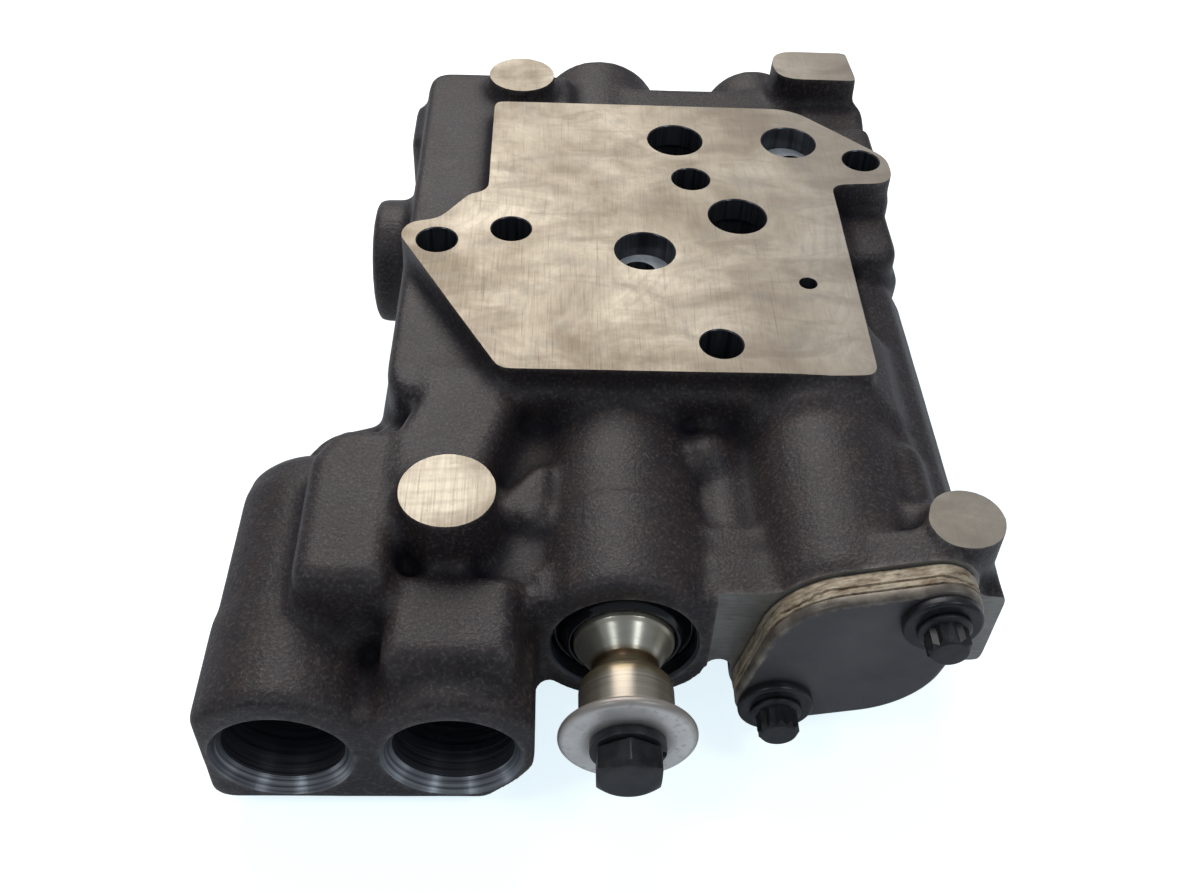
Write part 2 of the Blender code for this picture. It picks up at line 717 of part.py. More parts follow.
def front_block_forms(forms):
    """The block at the front left, with a lobe over each open bore."""
    axis = -FRONT_BORE_DEPTH
    prism("block_back", from_corners([
        (BLOCK_LEFT + FORM_STEP, BLOCK_FRONT + 0.010, 0.002),
        (BLOCK_RIGHT - FORM_STEP, BLOCK_FRONT + 0.010, 0.002),
        (BLOCK_RIGHT - FORM_STEP, FRONT_WALL + 0.002, 0.002),
        (LEFT_WALL + 0.002, FRONT_WALL + 0.012, 0.003),
        (-0.0760, FRONT_WALL + 0.006, 0.012),
        (BLOCK_LEFT + FORM_STEP, -0.0880, 0.014),
    ]), -BLOCK_BOTTOM + 0.002, -0.0262, forms, edge=0.0018)
    right_angle = math.degrees(math.acos((BLOCK_RIGHT - RIGHT_BORE_X) / LOBE_RADIUS))
    left_angle = math.degrees(math.acos((BLOCK_LEFT - LEFT_BORE_X) / LOBE_RADIUS))
    valley = math.degrees(math.acos((RIGHT_BORE_X - LEFT_BORE_X) * 0.47 / LOBE_RADIUS))
    outline = arc((RIGHT_BORE_X, axis), LOBE_RADIUS, right_angle, 180 - valley, 9)
    outline += arc((LEFT_BORE_X, axis), LOBE_RADIUS, valley, left_angle, 9)
    outline += [
        (BLOCK_LEFT, -BLOCK_BOTTOM + 0.003),
        (BLOCK_LEFT + 0.003, -BLOCK_BOTTOM),
        (BLOCK_RIGHT - 0.0106, -BLOCK_BOTTOM),
        (BLOCK_RIGHT - 0.0034, -BLOCK_BOTTOM + 0.0080),
        (BLOCK_RIGHT, axis - 0.0050),
    ]
    front = -BLOCK_FRONT
    prism("front_lobes", from_points(outline), 0.1180, front, forms, turn=FRONT, edge=0.0018)
    lobe_radius = LOBE_RADIUS - FORM_STEP
    left_edge = BLOCK_LEFT + FORM_STEP * 2
    left_angle = math.degrees(math.acos((left_edge - LEFT_BORE_X) / lobe_radius))
    lobe = arc((LEFT_BORE_X, axis), lobe_radius, 0, left_angle, 12)
    lobe += [(left_edge, -BLOCK_BOTTOM + 0.006), (LEFT_BORE_X + lobe_radius, -BLOCK_BOTTOM + 0.006)]
    lobe = anticlockwise([(x - LEFT_BORE_X, -z + axis) for x, z in lobe])
    rings = [(-0.1240, 1.0), (-0.0820, 1.0), (-0.0750, 0.93), (-0.0710, 0.80), (-0.0690, 0.60)]
    rings = [([(x * scale, z * scale) for x, z in lobe], y) for y, scale in rings]
    loft("left_lobe", rings, forms, BACK, (LEFT_BORE_X, 0.0, axis))


def front_bridge_forms(forms):
    """Web between block and body, the arm on it and the raised pads."""
    prism("web", from_corners([
        (-0.0660, -0.1270, 0.006),
        (-0.0240, -0.1270, 0.006),
        (-0.0110, -0.0950, 0.006),
        (-0.0110, FRONT_WALL + 0.005, 0.006),
        (-0.0560, FRONT_WALL + 0.005, 0.006),
        (-0.0700, -0.0720, 0.010),
    ]), -0.0480, -0.0165, forms, edge=0.0040)
    prism("arm", from_corners([
        (-0.0580, -0.0440, 0.005),
        (-0.0540, -0.0640, 0.006),
        (-0.0580, -0.0760, 0.006),
        (-0.0660, -0.0800, 0.005),
        (-0.0480, -0.1080, 0.008),
        (-0.0300, -0.0900, 0.010),
        (-0.0240, -0.0660, 0.010),
        (-0.0260, -0.0540, 0.005),
    ]), -0.0360, -0.0054, forms, draft=0.10, edge=0.0030)
    prism("raised_pad", from_corners([
        (-0.0760, -0.1260, 0.008),
        (-0.0500, -0.1260, 0.006),
        (-0.0500, -0.0740, 0.006),
        (-0.0700, -0.0740, 0.010),
        (-0.0765, -0.0860, 0.008),
    ]), -0.0340, -0.0042, forms, draft=0.10, edge=0.0030)
    prism("bore_pad", from_corners([
        (-0.0550, -0.1400, 0.005),
        (-0.0230, -0.1400, 0.005),
        (-0.0230, -0.1130, 0.005),
        (-0.0550, -0.1130, 0.005),
    ]), -0.0300, -0.0112, forms, draft=0.10, edge=0.0030)
    prism("small_lug", from_corners([
        (-0.0330, -0.0950, 0.004),
        (-0.0190, -0.1000, 0.004),
        (-0.0170, -0.0740, 0.004),
    ]), -0.0240, -0.0128, forms, edge=0.0015)


def side_forms(forms):
    """Round bosses on the left and right walls and the lug behind the left one."""
    face = -STOP_BOSS_FACE
    boss = rounded_end(face - 0.0200, face, STOP_BOSS_RADIUS)
    turned("stop_boss", boss, forms, LEFT, on_spool(STOP_Y))
    prism("wall_lug", from_corners([
        (LEFT_WALL - 0.0036, 0.0600, 0.003),
        (LEFT_WALL + 0.0060, 0.0560, 0.003),
        (LEFT_WALL + 0.0060, 0.0860, 0.003),
        (LEFT_WALL - 0.0036, 0.0820, 0.003),
    ]), -0.0340, -0.0130, forms, edge=0.0020)
    wall = RIGHT_WALL - 0.0006
    boss = [(wall - 0.0200, SIDE_BOSS_RADIUS), (wall - 0.001, SIDE_BOSS_RADIUS), (wall, SIDE_BOSS_RADIUS - 0.001)]
    turned("side_plug_boss", boss, forms, RIGHT, (0.0, SIDE_PLUG_Y, -SIDE_PLUG_DEPTH), SMALL_STEPS)


# Casting: bores and holes that are cut

def selector_bore(cuts):
    """Spool bore with its galleries, counterbore and rear chamber."""
    bore = SPOOL_RADIUS + RUNNING_GAP
    chamber = SPOOL_REAR + SPOOL_STROKE + 0.0015
    stations = [
        (-REAR_BARREL_END - 0.005, PLUG_HOLE_RADIUS),
        (-chamber, PLUG_HOLE_RADIUS),
        (-chamber, bore),
    ]
    for y in (CLUTCH_PORT[1], SUPPLY_PORT[1]):
        stations += [
            (-y - GALLERY_WIDTH / 2, bore),
            (-y - GALLERY_WIDTH / 2, GALLERY_RADIUS),
            (-y + GALLERY_WIDTH / 2, GALLERY_RADIUS),
            (-y + GALLERY_WIDTH / 2, bore),
        ]
    shelf = -BARREL_FRONT - COUNTERBORE_DEPTH
    stations += [
        (shelf, bore),
        (shelf, COUNTERBORE_RADIUS),
        (-BARREL_FRONT - 0.0010, COUNTERBORE_RADIUS),
        (-BARREL_FRONT + 0.0010, COUNTERBORE_RADIUS + 0.0012),
        (-BARREL_FRONT + 0.0100, COUNTERBORE_RADIUS + 0.0012),
    ]
    drilled("selector_bore", stations, cuts, FRONT, on_spool())


def port_face_holes(cuts):
    holes = [
        ("supply_port", SUPPLY_PORT, PORT_RADIUS, SPOOL_DEPTH, SMALL_STEPS + 8),
        ("clutch_port", CLUTCH_PORT, PORT_RADIUS, SPOOL_DEPTH, SMALL_STEPS + 8),
        ("relief_port", RELIEF_PORT, PORT_RADIUS, RELIEF_DEPTH, SMALL_STEPS + 8),
        ("drain_port", DRAIN_PORT, PORT_RADIUS, RELIEF_DEPTH, SMALL_STEPS + 8),
        ("pilot_port", PILOT_PORT, PILOT_RADIUS, RELIEF_DEPTH, 16),
    ]
    for name, centre in bolt_holes().items():
        holes.append((f"{name}_hole", centre, BOLT_HOLE_RADIUS, BASE_DEPTH + 0.005, SMALL_STEPS))
    for name, (x, y), radius, depth, steps in holes:
        drilled(name, [(-depth, radius), (0.005, radius)], cuts, UP, (x, y, 0.0), steps)


def front_block_bores(cuts):
    mouth = -BLOCK_FRONT
    for name, x in (("left", LEFT_BORE_X), ("right", RIGHT_BORE_X)):
        drilled(f"{name}_front_bore", [
            (mouth - FRONT_BORE_LENGTH, FRONT_BORE_INNER),
            (mouth - FRONT_BORE_SHELF, FRONT_BORE_INNER),
            (mouth - FRONT_BORE_SHELF + 0.002, FRONT_BORE_RADIUS),
            (mouth - FRONT_BORE_CHAMFER * 2, FRONT_BORE_RADIUS),
            (mouth + 0.001, FRONT_BORE_RADIUS + FRONT_BORE_CHAMFER),
            (mouth + 0.005, FRONT_BORE_RADIUS + FRONT_BORE_CHAMFER),
        ], cuts, FRONT, (x, 0.0, -FRONT_BORE_DEPTH))


def other_bores(cuts):
    """Relief bore, cover bolt holes, stop bore and side plug seat."""
    bore = RELIEF_BORE_RADIUS + RUNNING_GAP
    mouth = -FACE_Y + 0.005
    drilled("relief_bore", [(-RELIEF_BORE_END, bore), (mouth, bore)], cuts, FRONT, on_relief())
    for name, (dx, dz) in cover_bolts().items():
        start = -FACE_Y - COVER_BOLT_REACH - TAPPED_SPARE
        place = (RELIEF_X + dx, 0.0, -RELIEF_DEPTH + dz)
        radius = BOLT_SHANK_RADIUS + SEAT_GAP
        drilled(f"{name}_cover_hole", [(start, radius), (mouth, radius)], cuts, FRONT, place, 16)
    face = -STOP_BOSS_FACE
    drilled("stop_bore", [
        (0.004, STOP_BORE_RADIUS),
        (face - STOP_PLUG_REACH - 0.001, STOP_BORE_RADIUS),
        (face - STOP_PLUG_REACH - 0.001, STOP_PLUG_THREAD),
        (face + 0.005, STOP_PLUG_THREAD),
    ], cuts, LEFT, on_spool(STOP_Y), SMALL_STEPS)
    wall = RIGHT_WALL - 0.0006
    place = (0.0, SIDE_PLUG_Y, -SIDE_PLUG_DEPTH)
    bore = [(wall - SIDE_PLUG_LENGTH, SIDE_PLUG_RADIUS), (wall + 0.005, SIDE_PLUG_RADIUS)]
    drilled("side_plug_bore", bore, cuts, RIGHT, place, SMALL_STEPS)


def cast_body(group, forms, cuts, hollows):
    body = belt(group)
    deck_forms(forms, hollows)
    plate_forms(forms)
    spool_barrel_forms(forms, hollows)
    relief_barrel_forms(forms)
    right_side_forms(forms)
    pad_forms(forms)
    front_block_forms(forms)
    front_bridge_forms(forms)
    side_forms(forms)
    selector_bore(cuts)
    port_face_holes(cuts)
    front_block_bores(cuts)
    other_bores(cuts)
    for form in forms.objects:
        boolean(body, form, "UNION")
    for cut in cuts.objects:
        boolean(body, cut, "DIFFERENCE")
    return body


# Pieces on the selector bore

def selector_spool(group):
    groove = STOP_PIN_RADIUS + SPOOL_STROKE + SEAT_GAP
    waists = (
        (SPOOL_REAR - 0.0240, SPOOL_REAR - 0.0120),
        (STOP_Y - groove, CLUTCH_PORT[1] + PORT_RADIUS),
        (SUPPLY_PORT[1] - 0.0280, SUPPLY_PORT[1] - 0.0100),
    )
    profile = [(-SPOOL_REAR, SPOOL_RADIUS - 0.0010), (-SPOOL_REAR + 0.0010, SPOOL_RADIUS)]
    for low, high in waists:
        profile += [
            (-high, SPOOL_RADIUS),
            (-high, SPOOL_WAIST_RADIUS),
            (-low, SPOOL_WAIST_RADIUS),
            (-low, SPOOL_RADIUS),
        ]
    profile += [
        (-SPOOL_CONE, SPOOL_RADIUS),
        (-SPOOL_NECK, SPOOL_NECK_RADIUS),
        (-SPOOL_TIP_LAND - 0.0016, SPOOL_NECK_RADIUS),
        (-SPOOL_TIP_LAND, SPOOL_TIP_RADIUS - 0.0006),
        (-SPOOL_TIP_LAND + 0.0008, SPOOL_TIP_RADIUS),
        (-SPOOL_TIP, SPOOL_TIP_RADIUS),
    ]
    hole = (BOLT_SHANK_RADIUS + SEAT_GAP, END_BOLT_REACH + TAPPED_SPARE)
    return turned("selector_spool", profile, group, FRONT, on_spool(), bore=hole)


def spool_end_pieces(group, tools):
    """Washer, lock washer and bolt on the spool's end, with a gap at each seat."""
    hole = BOLT_SHANK_RADIUS + SEAT_GAP
    back = -SPOOL_TIP + SEAT_GAP
    front = back + END_WASHER_THICKNESS
    rim = 0.0004
    washer = turned_ring("spool_end_washer", [
        (back, hole),
        (back, END_WASHER_RADIUS - rim),
        (back + rim, END_WASHER_RADIUS),
        (front - rim, END_WASHER_RADIUS),
        (front, END_WASHER_RADIUS - rim),
        (front, hole),
    ], group, FRONT, on_spool())
    back = front + SEAT_GAP
    front = back + LOCK_WASHER_THICKNESS
    lock = flat_ring("spool_lock_washer", hole, LOCK_WASHER_RADIUS, back, front, group, FRONT, on_spool())
    slot = from_corners([
        (0.0, -LOCK_WASHER_SLOT / 2, 0.0003),
        (LOCK_WASHER_RADIUS + 0.002, -LOCK_WASHER_SLOT / 2, 0.0003),
        (LOCK_WASHER_RADIUS + 0.002, LOCK_WASHER_SLOT / 2, 0.0003),
        (0.0, LOCK_WASHER_SLOT / 2, 0.0003),
    ], 1)
    cut = prism("lock_washer_slot", slot, back - 0.001, front + 0.001, tools, turn=FRONT, place=on_spool())
    boolean(lock, cut, "DIFFERENCE")
    head = front + SEAT_GAP
    hexagon = from_points(polygon(6, END_BOLT_FLATS, 90.0))
    bolt = prism("spool_end_bolt", hexagon, head, head + END_BOLT_HEAD, group, turn=FRONT, place=on_spool())
    corner = END_BOLT_FLATS / 2 / math.cos(math.pi / 6)
    chamfer = turned("end_bolt_chamfer", [
        (head - 0.002, corner + 0.001),
        (head + END_BOLT_HEAD - 0.0010, corner + 0.001),
        (head + END_BOLT_HEAD - 0.0008, corner - 0.0002),
        (head + END_BOLT_HEAD + 0.0001, END_BOLT_FLATS / 2 - 0.0006),
    ], tools, FRONT, on_spool())
    boolean(bolt, chamfer, "INTERSECT")
    shank = cylinder("end_bolt_shank", BOLT_SHANK_RADIUS, -SPOOL_TIP - END_BOLT_REACH, head + 0.002, tools,
                     FRONT, on_spool(), SMALL_STEPS)
    boolean(bolt, shank, "UNION")
    return washer, lock, bolt


def shaft_seal(group):
    """Steel shell and rubber lip seal in the counterbore."""
    shelf = -BARREL_FRONT - COUNTERBORE_DEPTH + SEAT_GAP
    outer = COUNTERBORE_RADIUS - SEAT_GAP
    wall = SEAL_SHELL_WALL
    front = -SEAL_SHELL_FRONT
    shell = turned_ring("seal_shell", [
        (shelf, SPOOL_RADIUS + 0.0015),
        (shelf, outer),
        (front, outer),
        (front, outer - wall),
        (shelf + wall, outer - wall),
        (shelf + wall, SPOOL_RADIUS + 0.0015),
    ], group, FRONT, on_spool())
    inner = SPOOL_RADIUS + RUNNING_GAP
    back = shelf + wall + SEAT_GAP
    rubber = outer - wall - SEAT_GAP
    seal = turned_ring("spool_seal", [
        (back, inner),
        (back, rubber),
        (front - 0.0010, rubber),
        (front, SEAL_LIP_RADIUS + 0.0006),
        (-SEAL_FRONT - 0.0008, SEAL_LIP_RADIUS),
        (-SEAL_FRONT, SEAL_LIP_RADIUS - 0.0008),
        (-SEAL_FRONT, inner + 0.0008),
        (-SEAL_FRONT - 0.0010, inner),
    ], group, FRONT, on_spool())
    return shell, seal


def rear_plug(group, tools):
    """Flanged socket plug that closes the selector bore, with its washer."""
    hole = PLUG_HOLE_RADIUS
    thread = hole - SEAT_GAP
    end = REAR_BARREL_END + SEAT_GAP
    washer = flat_ring("rear_plug_washer", hole + SEAT_GAP, PLUG_FLANGE_RADIUS - 0.0005, end,
                       end + PLUG_WASHER, group, BACK, on_spool())
    seat = end + PLUG_WASHER + SEAT_GAP
    top = seat + PLUG_FLANGE
    plug = turned("rear_plug", [
        (REAR_BARREL_END - PLUG_REACH, thread - 0.001),
        (REAR_BARREL_END - PLUG_REACH + 0.001, thread),
        (seat, thread),
        (seat, PLUG_FLANGE_RADIUS),
        (top - 0.0008, PLUG_FLANGE_RADIUS),
        (top, PLUG_FLANGE_RADIUS - 0.0008),
    ], group, BACK, on_spool())
    socket = prism("rear_plug_socket", from_points(polygon(6, PLUG_SOCKET_FLATS)), top - PLUG_SOCKET_DEPTH,
                   top + 0.002, tools, turn=BACK, place=on_spool())
    boolean(plug, socket, "DIFFERENCE")
    return plug, washer


def travel_stop(group, tools):
    """Pin that runs in the spool's long waist, held by a socket plug in the left boss."""
    place = on_spool(STOP_Y)
    face = -STOP_BOSS_FACE
    plug_inner = face - STOP_PLUG_REACH
    pin_end = plug_inner - SEAT_GAP
    pin = turned("stop_pin", [
        (SPOOL_WAIST_RADIUS + SEAT_GAP, STOP_PIN_RADIUS - 0.0006),
        (SPOOL_WAIST_RADIUS + SEAT_GAP + 0.0006, STOP_PIN_RADIUS),
        (SPOOL_RADIUS + 0.0080, STOP_PIN_RADIUS),
        (SPOOL_RADIUS + 0.0080, STOP_PIN_HEAD),
        (pin_end, STOP_PIN_HEAD),
    ], group, LEFT, place, SMALL_STEPS)
    top = face - STOP_PLUG_RECESS
    thread = STOP_PLUG_THREAD - SEAT_GAP
    plug = turned("stop_plug", [
        (plug_inner, thread - 0.0008),
        (plug_inner + 0.0008, thread),
        (top - 0.0008, thread),
        (top, thread - 0.0008),
    ], group, LEFT, place)
    socket = prism("stop_plug_socket", from_points(polygon(6, STOP_PLUG_FLATS, 30.0)), top - STOP_PLUG_SOCKET,
                   top + 0.002, tools, turn=LEFT, place=place)
    boolean(plug, socket, "DIFFERENCE")
    return pin, plug


def side_plug(group):
    wall = RIGHT_WALL - 0.0006
    radius = SIDE_PLUG_RADIUS - SEAT_GAP
    return turned("side_plug", [
        (wall - SIDE_PLUG_LENGTH + SEAT_GAP, radius),
        (wall - 0.0006, radius),
        (wall, radius - 0.0006),
        (wall + 0.0002, radius * 0.5),
    ], group, RIGHT, (0.0, SIDE_PLUG_Y, -SIDE_PLUG_DEPTH), SMALL_STEPS)


# Pieces on the relief bore

def cover_stack(group, tools):
    """Spacer, gasket and cover, each drilled for the bolts and set off by a gap."""
    low = -FACE_Y + SEAT_GAP
    layers = {}
    for name, margin, thickness, edge in (
        ("cover_spacer", 0.0, SPACER_THICKNESS, 0.0),
        ("cover_gasket", -0.0005, GASKET_THICKNESS, 0.0),
        ("bore_cover", 0.0, COVER_THICKNESS, COVER_BEVEL),
    ):
        high = low + thickness
        layers[name] = prism(name, oval_shape(margin), low, high, group, turn=FRONT, place=on_relief(),
                             edge=edge)
        low = high + SEAT_GAP
    top = low - SEAT_GAP
    opening = cylinder("cover_opening", COVER_OPENING, -FACE_Y - 0.001, top - COVER_THICKNESS - SEAT_GAP / 2,
                       tools, FRONT, on_relief())
    boolean(layers["cover_spacer"], opening, "DIFFERENCE")
    boolean(layers["cover_gasket"], opening, "DIFFERENCE")
    for side, (dx, dz) in cover_bolts().items():
        place = (RELIEF_X + dx, 0.0, -RELIEF_DEPTH + dz)
        hole = cylinder(f"{side}_layer_hole", BOLT_SHANK_RADIUS + SEAT_GAP, -FACE_Y - 0.001, top + 0.002, tools,
                        FRONT, place, SMALL_STEPS)
        for layer in layers.values():
            boolean(layer, hole, "DIFFERENCE")
    return layers, top


def cover_fixings(group, tools, top):
    washers = []
    bolts = []
    ring_steps = SMALL_STEPS + 8
    for side, (dx, dz) in cover_bolts().items():
        place = (RELIEF_X + dx, 0.0, -RELIEF_DEPTH + dz)
        back = top + SEAT_GAP
        front = back + COVER_WASHER_THICKNESS
        washers.append(turned_ring(f"cover_washer_{side}", [
            (back, BOLT_SHANK_RADIUS + SEAT_GAP),
            (back, COVER_WASHER_RADIUS),
            (front - 0.0004, COVER_WASHER_RADIUS),
            (front, COVER_WASHER_RADIUS - 0.0004),
            (front, BOLT_SHANK_RADIUS + SEAT_GAP),
        ], group, FRONT, place, ring_steps))
        head = front + SEAT_GAP
        bolt = turned(f"cover_bolt_{side}", [
            (-FACE_Y - COVER_BOLT_REACH, BOLT_SHANK_RADIUS - 0.0006),
            (-FACE_Y - COVER_BOLT_REACH + 0.0006, BOLT_SHANK_RADIUS),
            (head, BOLT_SHANK_RADIUS),
            (head, COVER_BOLT_FLANGE),
            (head + COVER_BOLT_FLANGE_HEIGHT * 0.5, COVER_BOLT_FLANGE),
            (head + COVER_BOLT_FLANGE_HEIGHT, COVER_BOLT_POINT_RADIUS - 0.0010),
        ], group, FRONT, place, ring_steps)
        points = twelve_point_head(f"{side}_bolt_points", head, tools, place)
        boolean(bolt, points, "UNION")
        bolts.append(bolt)
    return washers, bolts


def twelve_point_head(name, head, tools, place):
    outer = COVER_BOLT_POINT_RADIUS
    inner = outer * math.cos(math.radians(30)) / math.cos(math.radians(15))
    outline = []
    for index in range(COVER_BOLT_POINTS * 2):
        radius = inner if index % 2 else outer
        angle = math.pi * index / COVER_BOLT_POINTS
        outline.append((radius * math.cos(angle), radius * math.sin(angle)))
    top = head + COVER_BOLT_HEAD
    rings = [
        (outline, head + COVER_BOLT_FLANGE_HEIGHT * 0.3),
        (outline, top - 0.0008),
        ([(x * 0.88, y * 0.88) for x, y in outline], top),
    ]
    return loft(name, rings, tools, FRONT, place)


def load_piston(group):
    radius = RELIEF_BORE_RADIUS
    back = PISTON_FRONT + PISTON_LENGTH
    return turned("load_piston", [
        (PISTON_FRONT, radius - 0.0008),
        (PISTON_FRONT + 0.0008, radius),
        (back - 0.0008, radius),
        (back, radius - 0.0008),
    ], group, BACK, on_relief(), bore=(radius - PISTON_WALL, PISTON_LENGTH - PISTON_WALL * 1.5))


def spring_seat_pieces(group):
    """Fixed seat between the two springs and the shims behind it."""
    outer = RELIEF_BORE_RADIUS
    seat = flat_ring("spring_seat", SPRING_SEAT_HOLE, outer, SPRING_SEAT_Y,
                     SPRING_SEAT_Y + SPRING_SEAT_THICKNESS, group, BACK, on_relief())
    shims = []
    low = SPRING_SEAT_Y + SPRING_SEAT_THICKNESS + SEAT_GAP
    for index in range(SHIM_COUNT):
        shims.append(flat_ring(f"relief_shim_{index + 1}", SPRING_SEAT_HOLE + 0.0010, outer - 0.0010, low,
                               low + SHIM_THICKNESS, group, BACK, on_relief()))
        low += SHIM_THICKNESS + SEAT_GAP
    return seat, shims, low


def relief_spool(group):
    start = RELIEF_SPOOL_FRONT
    end = start + RELIEF_SPOOL_LENGTH
    radius = RELIEF_BORE_RADIUS
    waist = RELIEF_WAIST_RADIUS
    port = DRAIN_PORT[1]
    return turned("relief_spool", [
        (start, radius - 0.0008),
        (start + 0.0008, radius),
        (port - PORT_RADIUS * 1.4, radius),
        (port - PORT_RADIUS * 1.4, waist),
        (port + PORT_RADIUS * 1.4, waist),
        (port + PORT_RADIUS * 1.4, radius),
        (end - 0.0008, radius),
        (end, radius - 0.0008),
    ], group, BACK, on_relief())


def coil(name, wire, turns, start, end, group):
    """Compression spring along the relief bore, its end coils wound close."""
    per_turn = 12
    count = turns * per_turn
    travel = end - start - 2 * wire
    curve = bpy.data.curves.new(name, "CURVE")
    curve.dimensions = "3D"
    curve.bevel_depth = wire
    curve.bevel_resolution = 1
    curve.use_fill_caps = True
    spline = curve.splines.new("POLY")
    spline.points.add(count)
    for index in range(count + 1):
        share = index / count
        rise = share - 0.5 * math.sin(share * 2 * math.pi) / (2 * math.pi)
        angle = share * turns * 2 * math.pi
        x = SPRING_RADIUS * math.cos(angle)
        y = SPRING_RADIUS * math.sin(angle)
        spline.points[index].co = (x, y, start + wire + rise * travel, 1.0)
    return add_object(name, curve, group, BACK, on_relief())


def build():
    clear_scene()
    parts = new_collection("hydraulic_selector_valve")
    forms = new_collection("casting_forms")
    hollows = new_collection("casting_hollows")
    cuts = new_collection("casting_bores")
    tools = new_collection("fitting_tools")

    cast = make_material("coated_cast_iron", CAST_COLOUR, 0.55, 0.2)
    steel = make_material("polished_steel", STEEL_COLOUR, 0.30, 1.0)
    bronze = make_material("stained_steel", BRONZE_COLOUR, 0.28, 1.0)
    black = make_material("black_oxide_steel", BLACK_COLOUR, 0.45, 0.8)
    rubber = make_material("seal_rubber", RUBBER_COLOUR, 0.40, 0.0)
    spacer = make_material("weathered_plate", SPACER_COLOUR, 0.75, 0.1)
    gasket = make_material("gasket_sheet", GASKET_COLOUR, 0.90, 0.0)
    painted = make_material("grey_cover_steel", COVER_COLOUR, 0.50, 0.6)

    finish = {}
    finish[cast_body(parts, forms, cuts, hollows)] = cast
    finish[selector_spool(parts)] = bronze
    washer, lock, bolt = spool_end_pieces(parts, tools)
    finish.update({washer: steel, lock: black, bolt: black})
    shell, seal = shaft_seal(parts)
    finish.update({shell: steel, seal: rubber})
    plug, ring = rear_plug(parts, tools)
    finish.update({plug: steel, ring: steel})
    pin, plug = travel_stop(parts, tools)
    finish.update({pin: steel, plug: black})
    finish[side_plug(parts)] = steel

    layers, top = cover_stack(parts, tools)
    finish[layers["cover_spacer"]] = spacer
    finish[layers["cover_gasket"]] = gasket
    finish[layers["bore_cover"]] = painted
    washers, bolts = cover_fixings(parts, tools, top)
    finish.update({piece: black for piece in washers + bolts})

    seat, shims, shims_end = spring_seat_pieces(parts)
    finish.update({load_piston(parts): steel, seat: steel, relief_spool(parts): steel})
    finish.update({shim: steel for shim in shims})
    cup_floor = PISTON_FRONT + PISTON_WALL * 1.5 + SEAT_GAP
    spring = coil("load_spring", LOAD_SPRING_WIRE, LOAD_SPRING_TURNS, cup_floor, SPRING_SEAT_Y - SEAT_GAP, parts)
    finish[spring] = steel
    spring = coil("relief_spring", RELIEF_SPRING_WIRE, RELIEF_SPRING_TURNS, shims_end,
                  RELIEF_SPOOL_FRONT - SEAT_GAP, parts)
    finish[spring] = steel

    for piece, material in finish.items():
        piece.data.materials.append(material)
    for group in (forms, hollows, cuts, tools):
        hide_tools(group)
    bpy.context.view_layer.update()
    settle(parts)


build()
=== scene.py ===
"""Hydraulic selector valve: its looks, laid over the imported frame."""

import math

import bmesh
import bpy
import numpy as np
from mathutils import Matrix, Vector, noise


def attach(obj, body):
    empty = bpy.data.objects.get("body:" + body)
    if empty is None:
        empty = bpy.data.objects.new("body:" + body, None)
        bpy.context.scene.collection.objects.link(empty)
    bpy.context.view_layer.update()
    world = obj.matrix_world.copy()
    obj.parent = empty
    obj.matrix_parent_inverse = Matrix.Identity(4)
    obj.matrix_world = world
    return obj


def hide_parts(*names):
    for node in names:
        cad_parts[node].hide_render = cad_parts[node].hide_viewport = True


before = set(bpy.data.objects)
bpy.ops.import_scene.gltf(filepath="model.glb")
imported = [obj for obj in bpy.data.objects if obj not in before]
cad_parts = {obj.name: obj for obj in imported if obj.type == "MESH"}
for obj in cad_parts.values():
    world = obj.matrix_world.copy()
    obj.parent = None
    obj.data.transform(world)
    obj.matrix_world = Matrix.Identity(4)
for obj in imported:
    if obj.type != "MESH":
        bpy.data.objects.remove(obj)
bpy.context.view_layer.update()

# Sizes in metres, in the part's own frame. COUNTERBORE_SHELF and SPOOL_TIP are distances along -Y,
# STOP_FACE is one along -X, and a name that ends in _DEPTH is a depth below its face. Stations count
# along the axis that the turned piece or the bore faces.
SPOOL_AXIS = Vector((-0.0007, 0.0, -0.0306))
RELIEF_AXIS = Vector((0.0510, 0.0, -0.0275))
BASE_LEVEL = -0.0630
BARREL_FRONT = -0.1206
RELIEF_FACE = -0.1180
BLOCK_FRONT = -0.1456
REAR_BARREL_END = 0.1095
RIGHT_WALL = 0.0839
STOP_FACE = 0.0703
STOP_Y = 0.0206
SIDE_PLUG = (0.0790, -0.0210)
FLANGE_RIGHT = 0.0190
FRONT_BORES = {"left": -0.0755, "right": -0.0385}
FRONT_BORE_LEVEL = -0.0380
FRONT_BORE_RADIUS = 0.0134
FRONT_BORE_DEPTH = 0.0620
FRONT_INNER_RADIUS = 0.0105
FRONT_STEP_DEPTH = 0.0300
FRONT_MOUTH_RADIUS = 0.0158
FRONT_MOUTH_DEPTH = 0.0036
SELECTOR_BORE_RADIUS = 0.0119
COUNTERBORE_RADIUS = 0.0168
COUNTERBORE_RIM = 0.0006
COUNTERBORE_SHELF = 0.1066
REAR_THREAD_RADIUS = 0.0140
REAR_THREAD_END = 0.0915
RELIEF_BORE_RADIUS = 0.0143
RELIEF_BORE_END = 0.0800
STOP_PIN_BORE_RADIUS = 0.0058
STOP_PLUG_BORE_RADIUS = 0.0100
STOP_PLUG_BORE_DEPTH = 0.0120
SIDE_PLUG_BORE_RADIUS = 0.0085
SIDE_PLUG_BORE_DEPTH = 0.0060
# Each port's X, Y, radius and depth below the port face.
PORTS = {
    "supply": (0.0068, -0.0122, 0.0082, 0.0306),
    "clutch": (0.0184, 0.0436, 0.0082, 0.0306),
    "relief": (0.0532, 0.0440, 0.0082, 0.0275),
    "drain": (0.0338, 0.0049, 0.0082, 0.0275),
    "pilot": (0.0499, -0.0249, 0.0024, 0.0275),
}
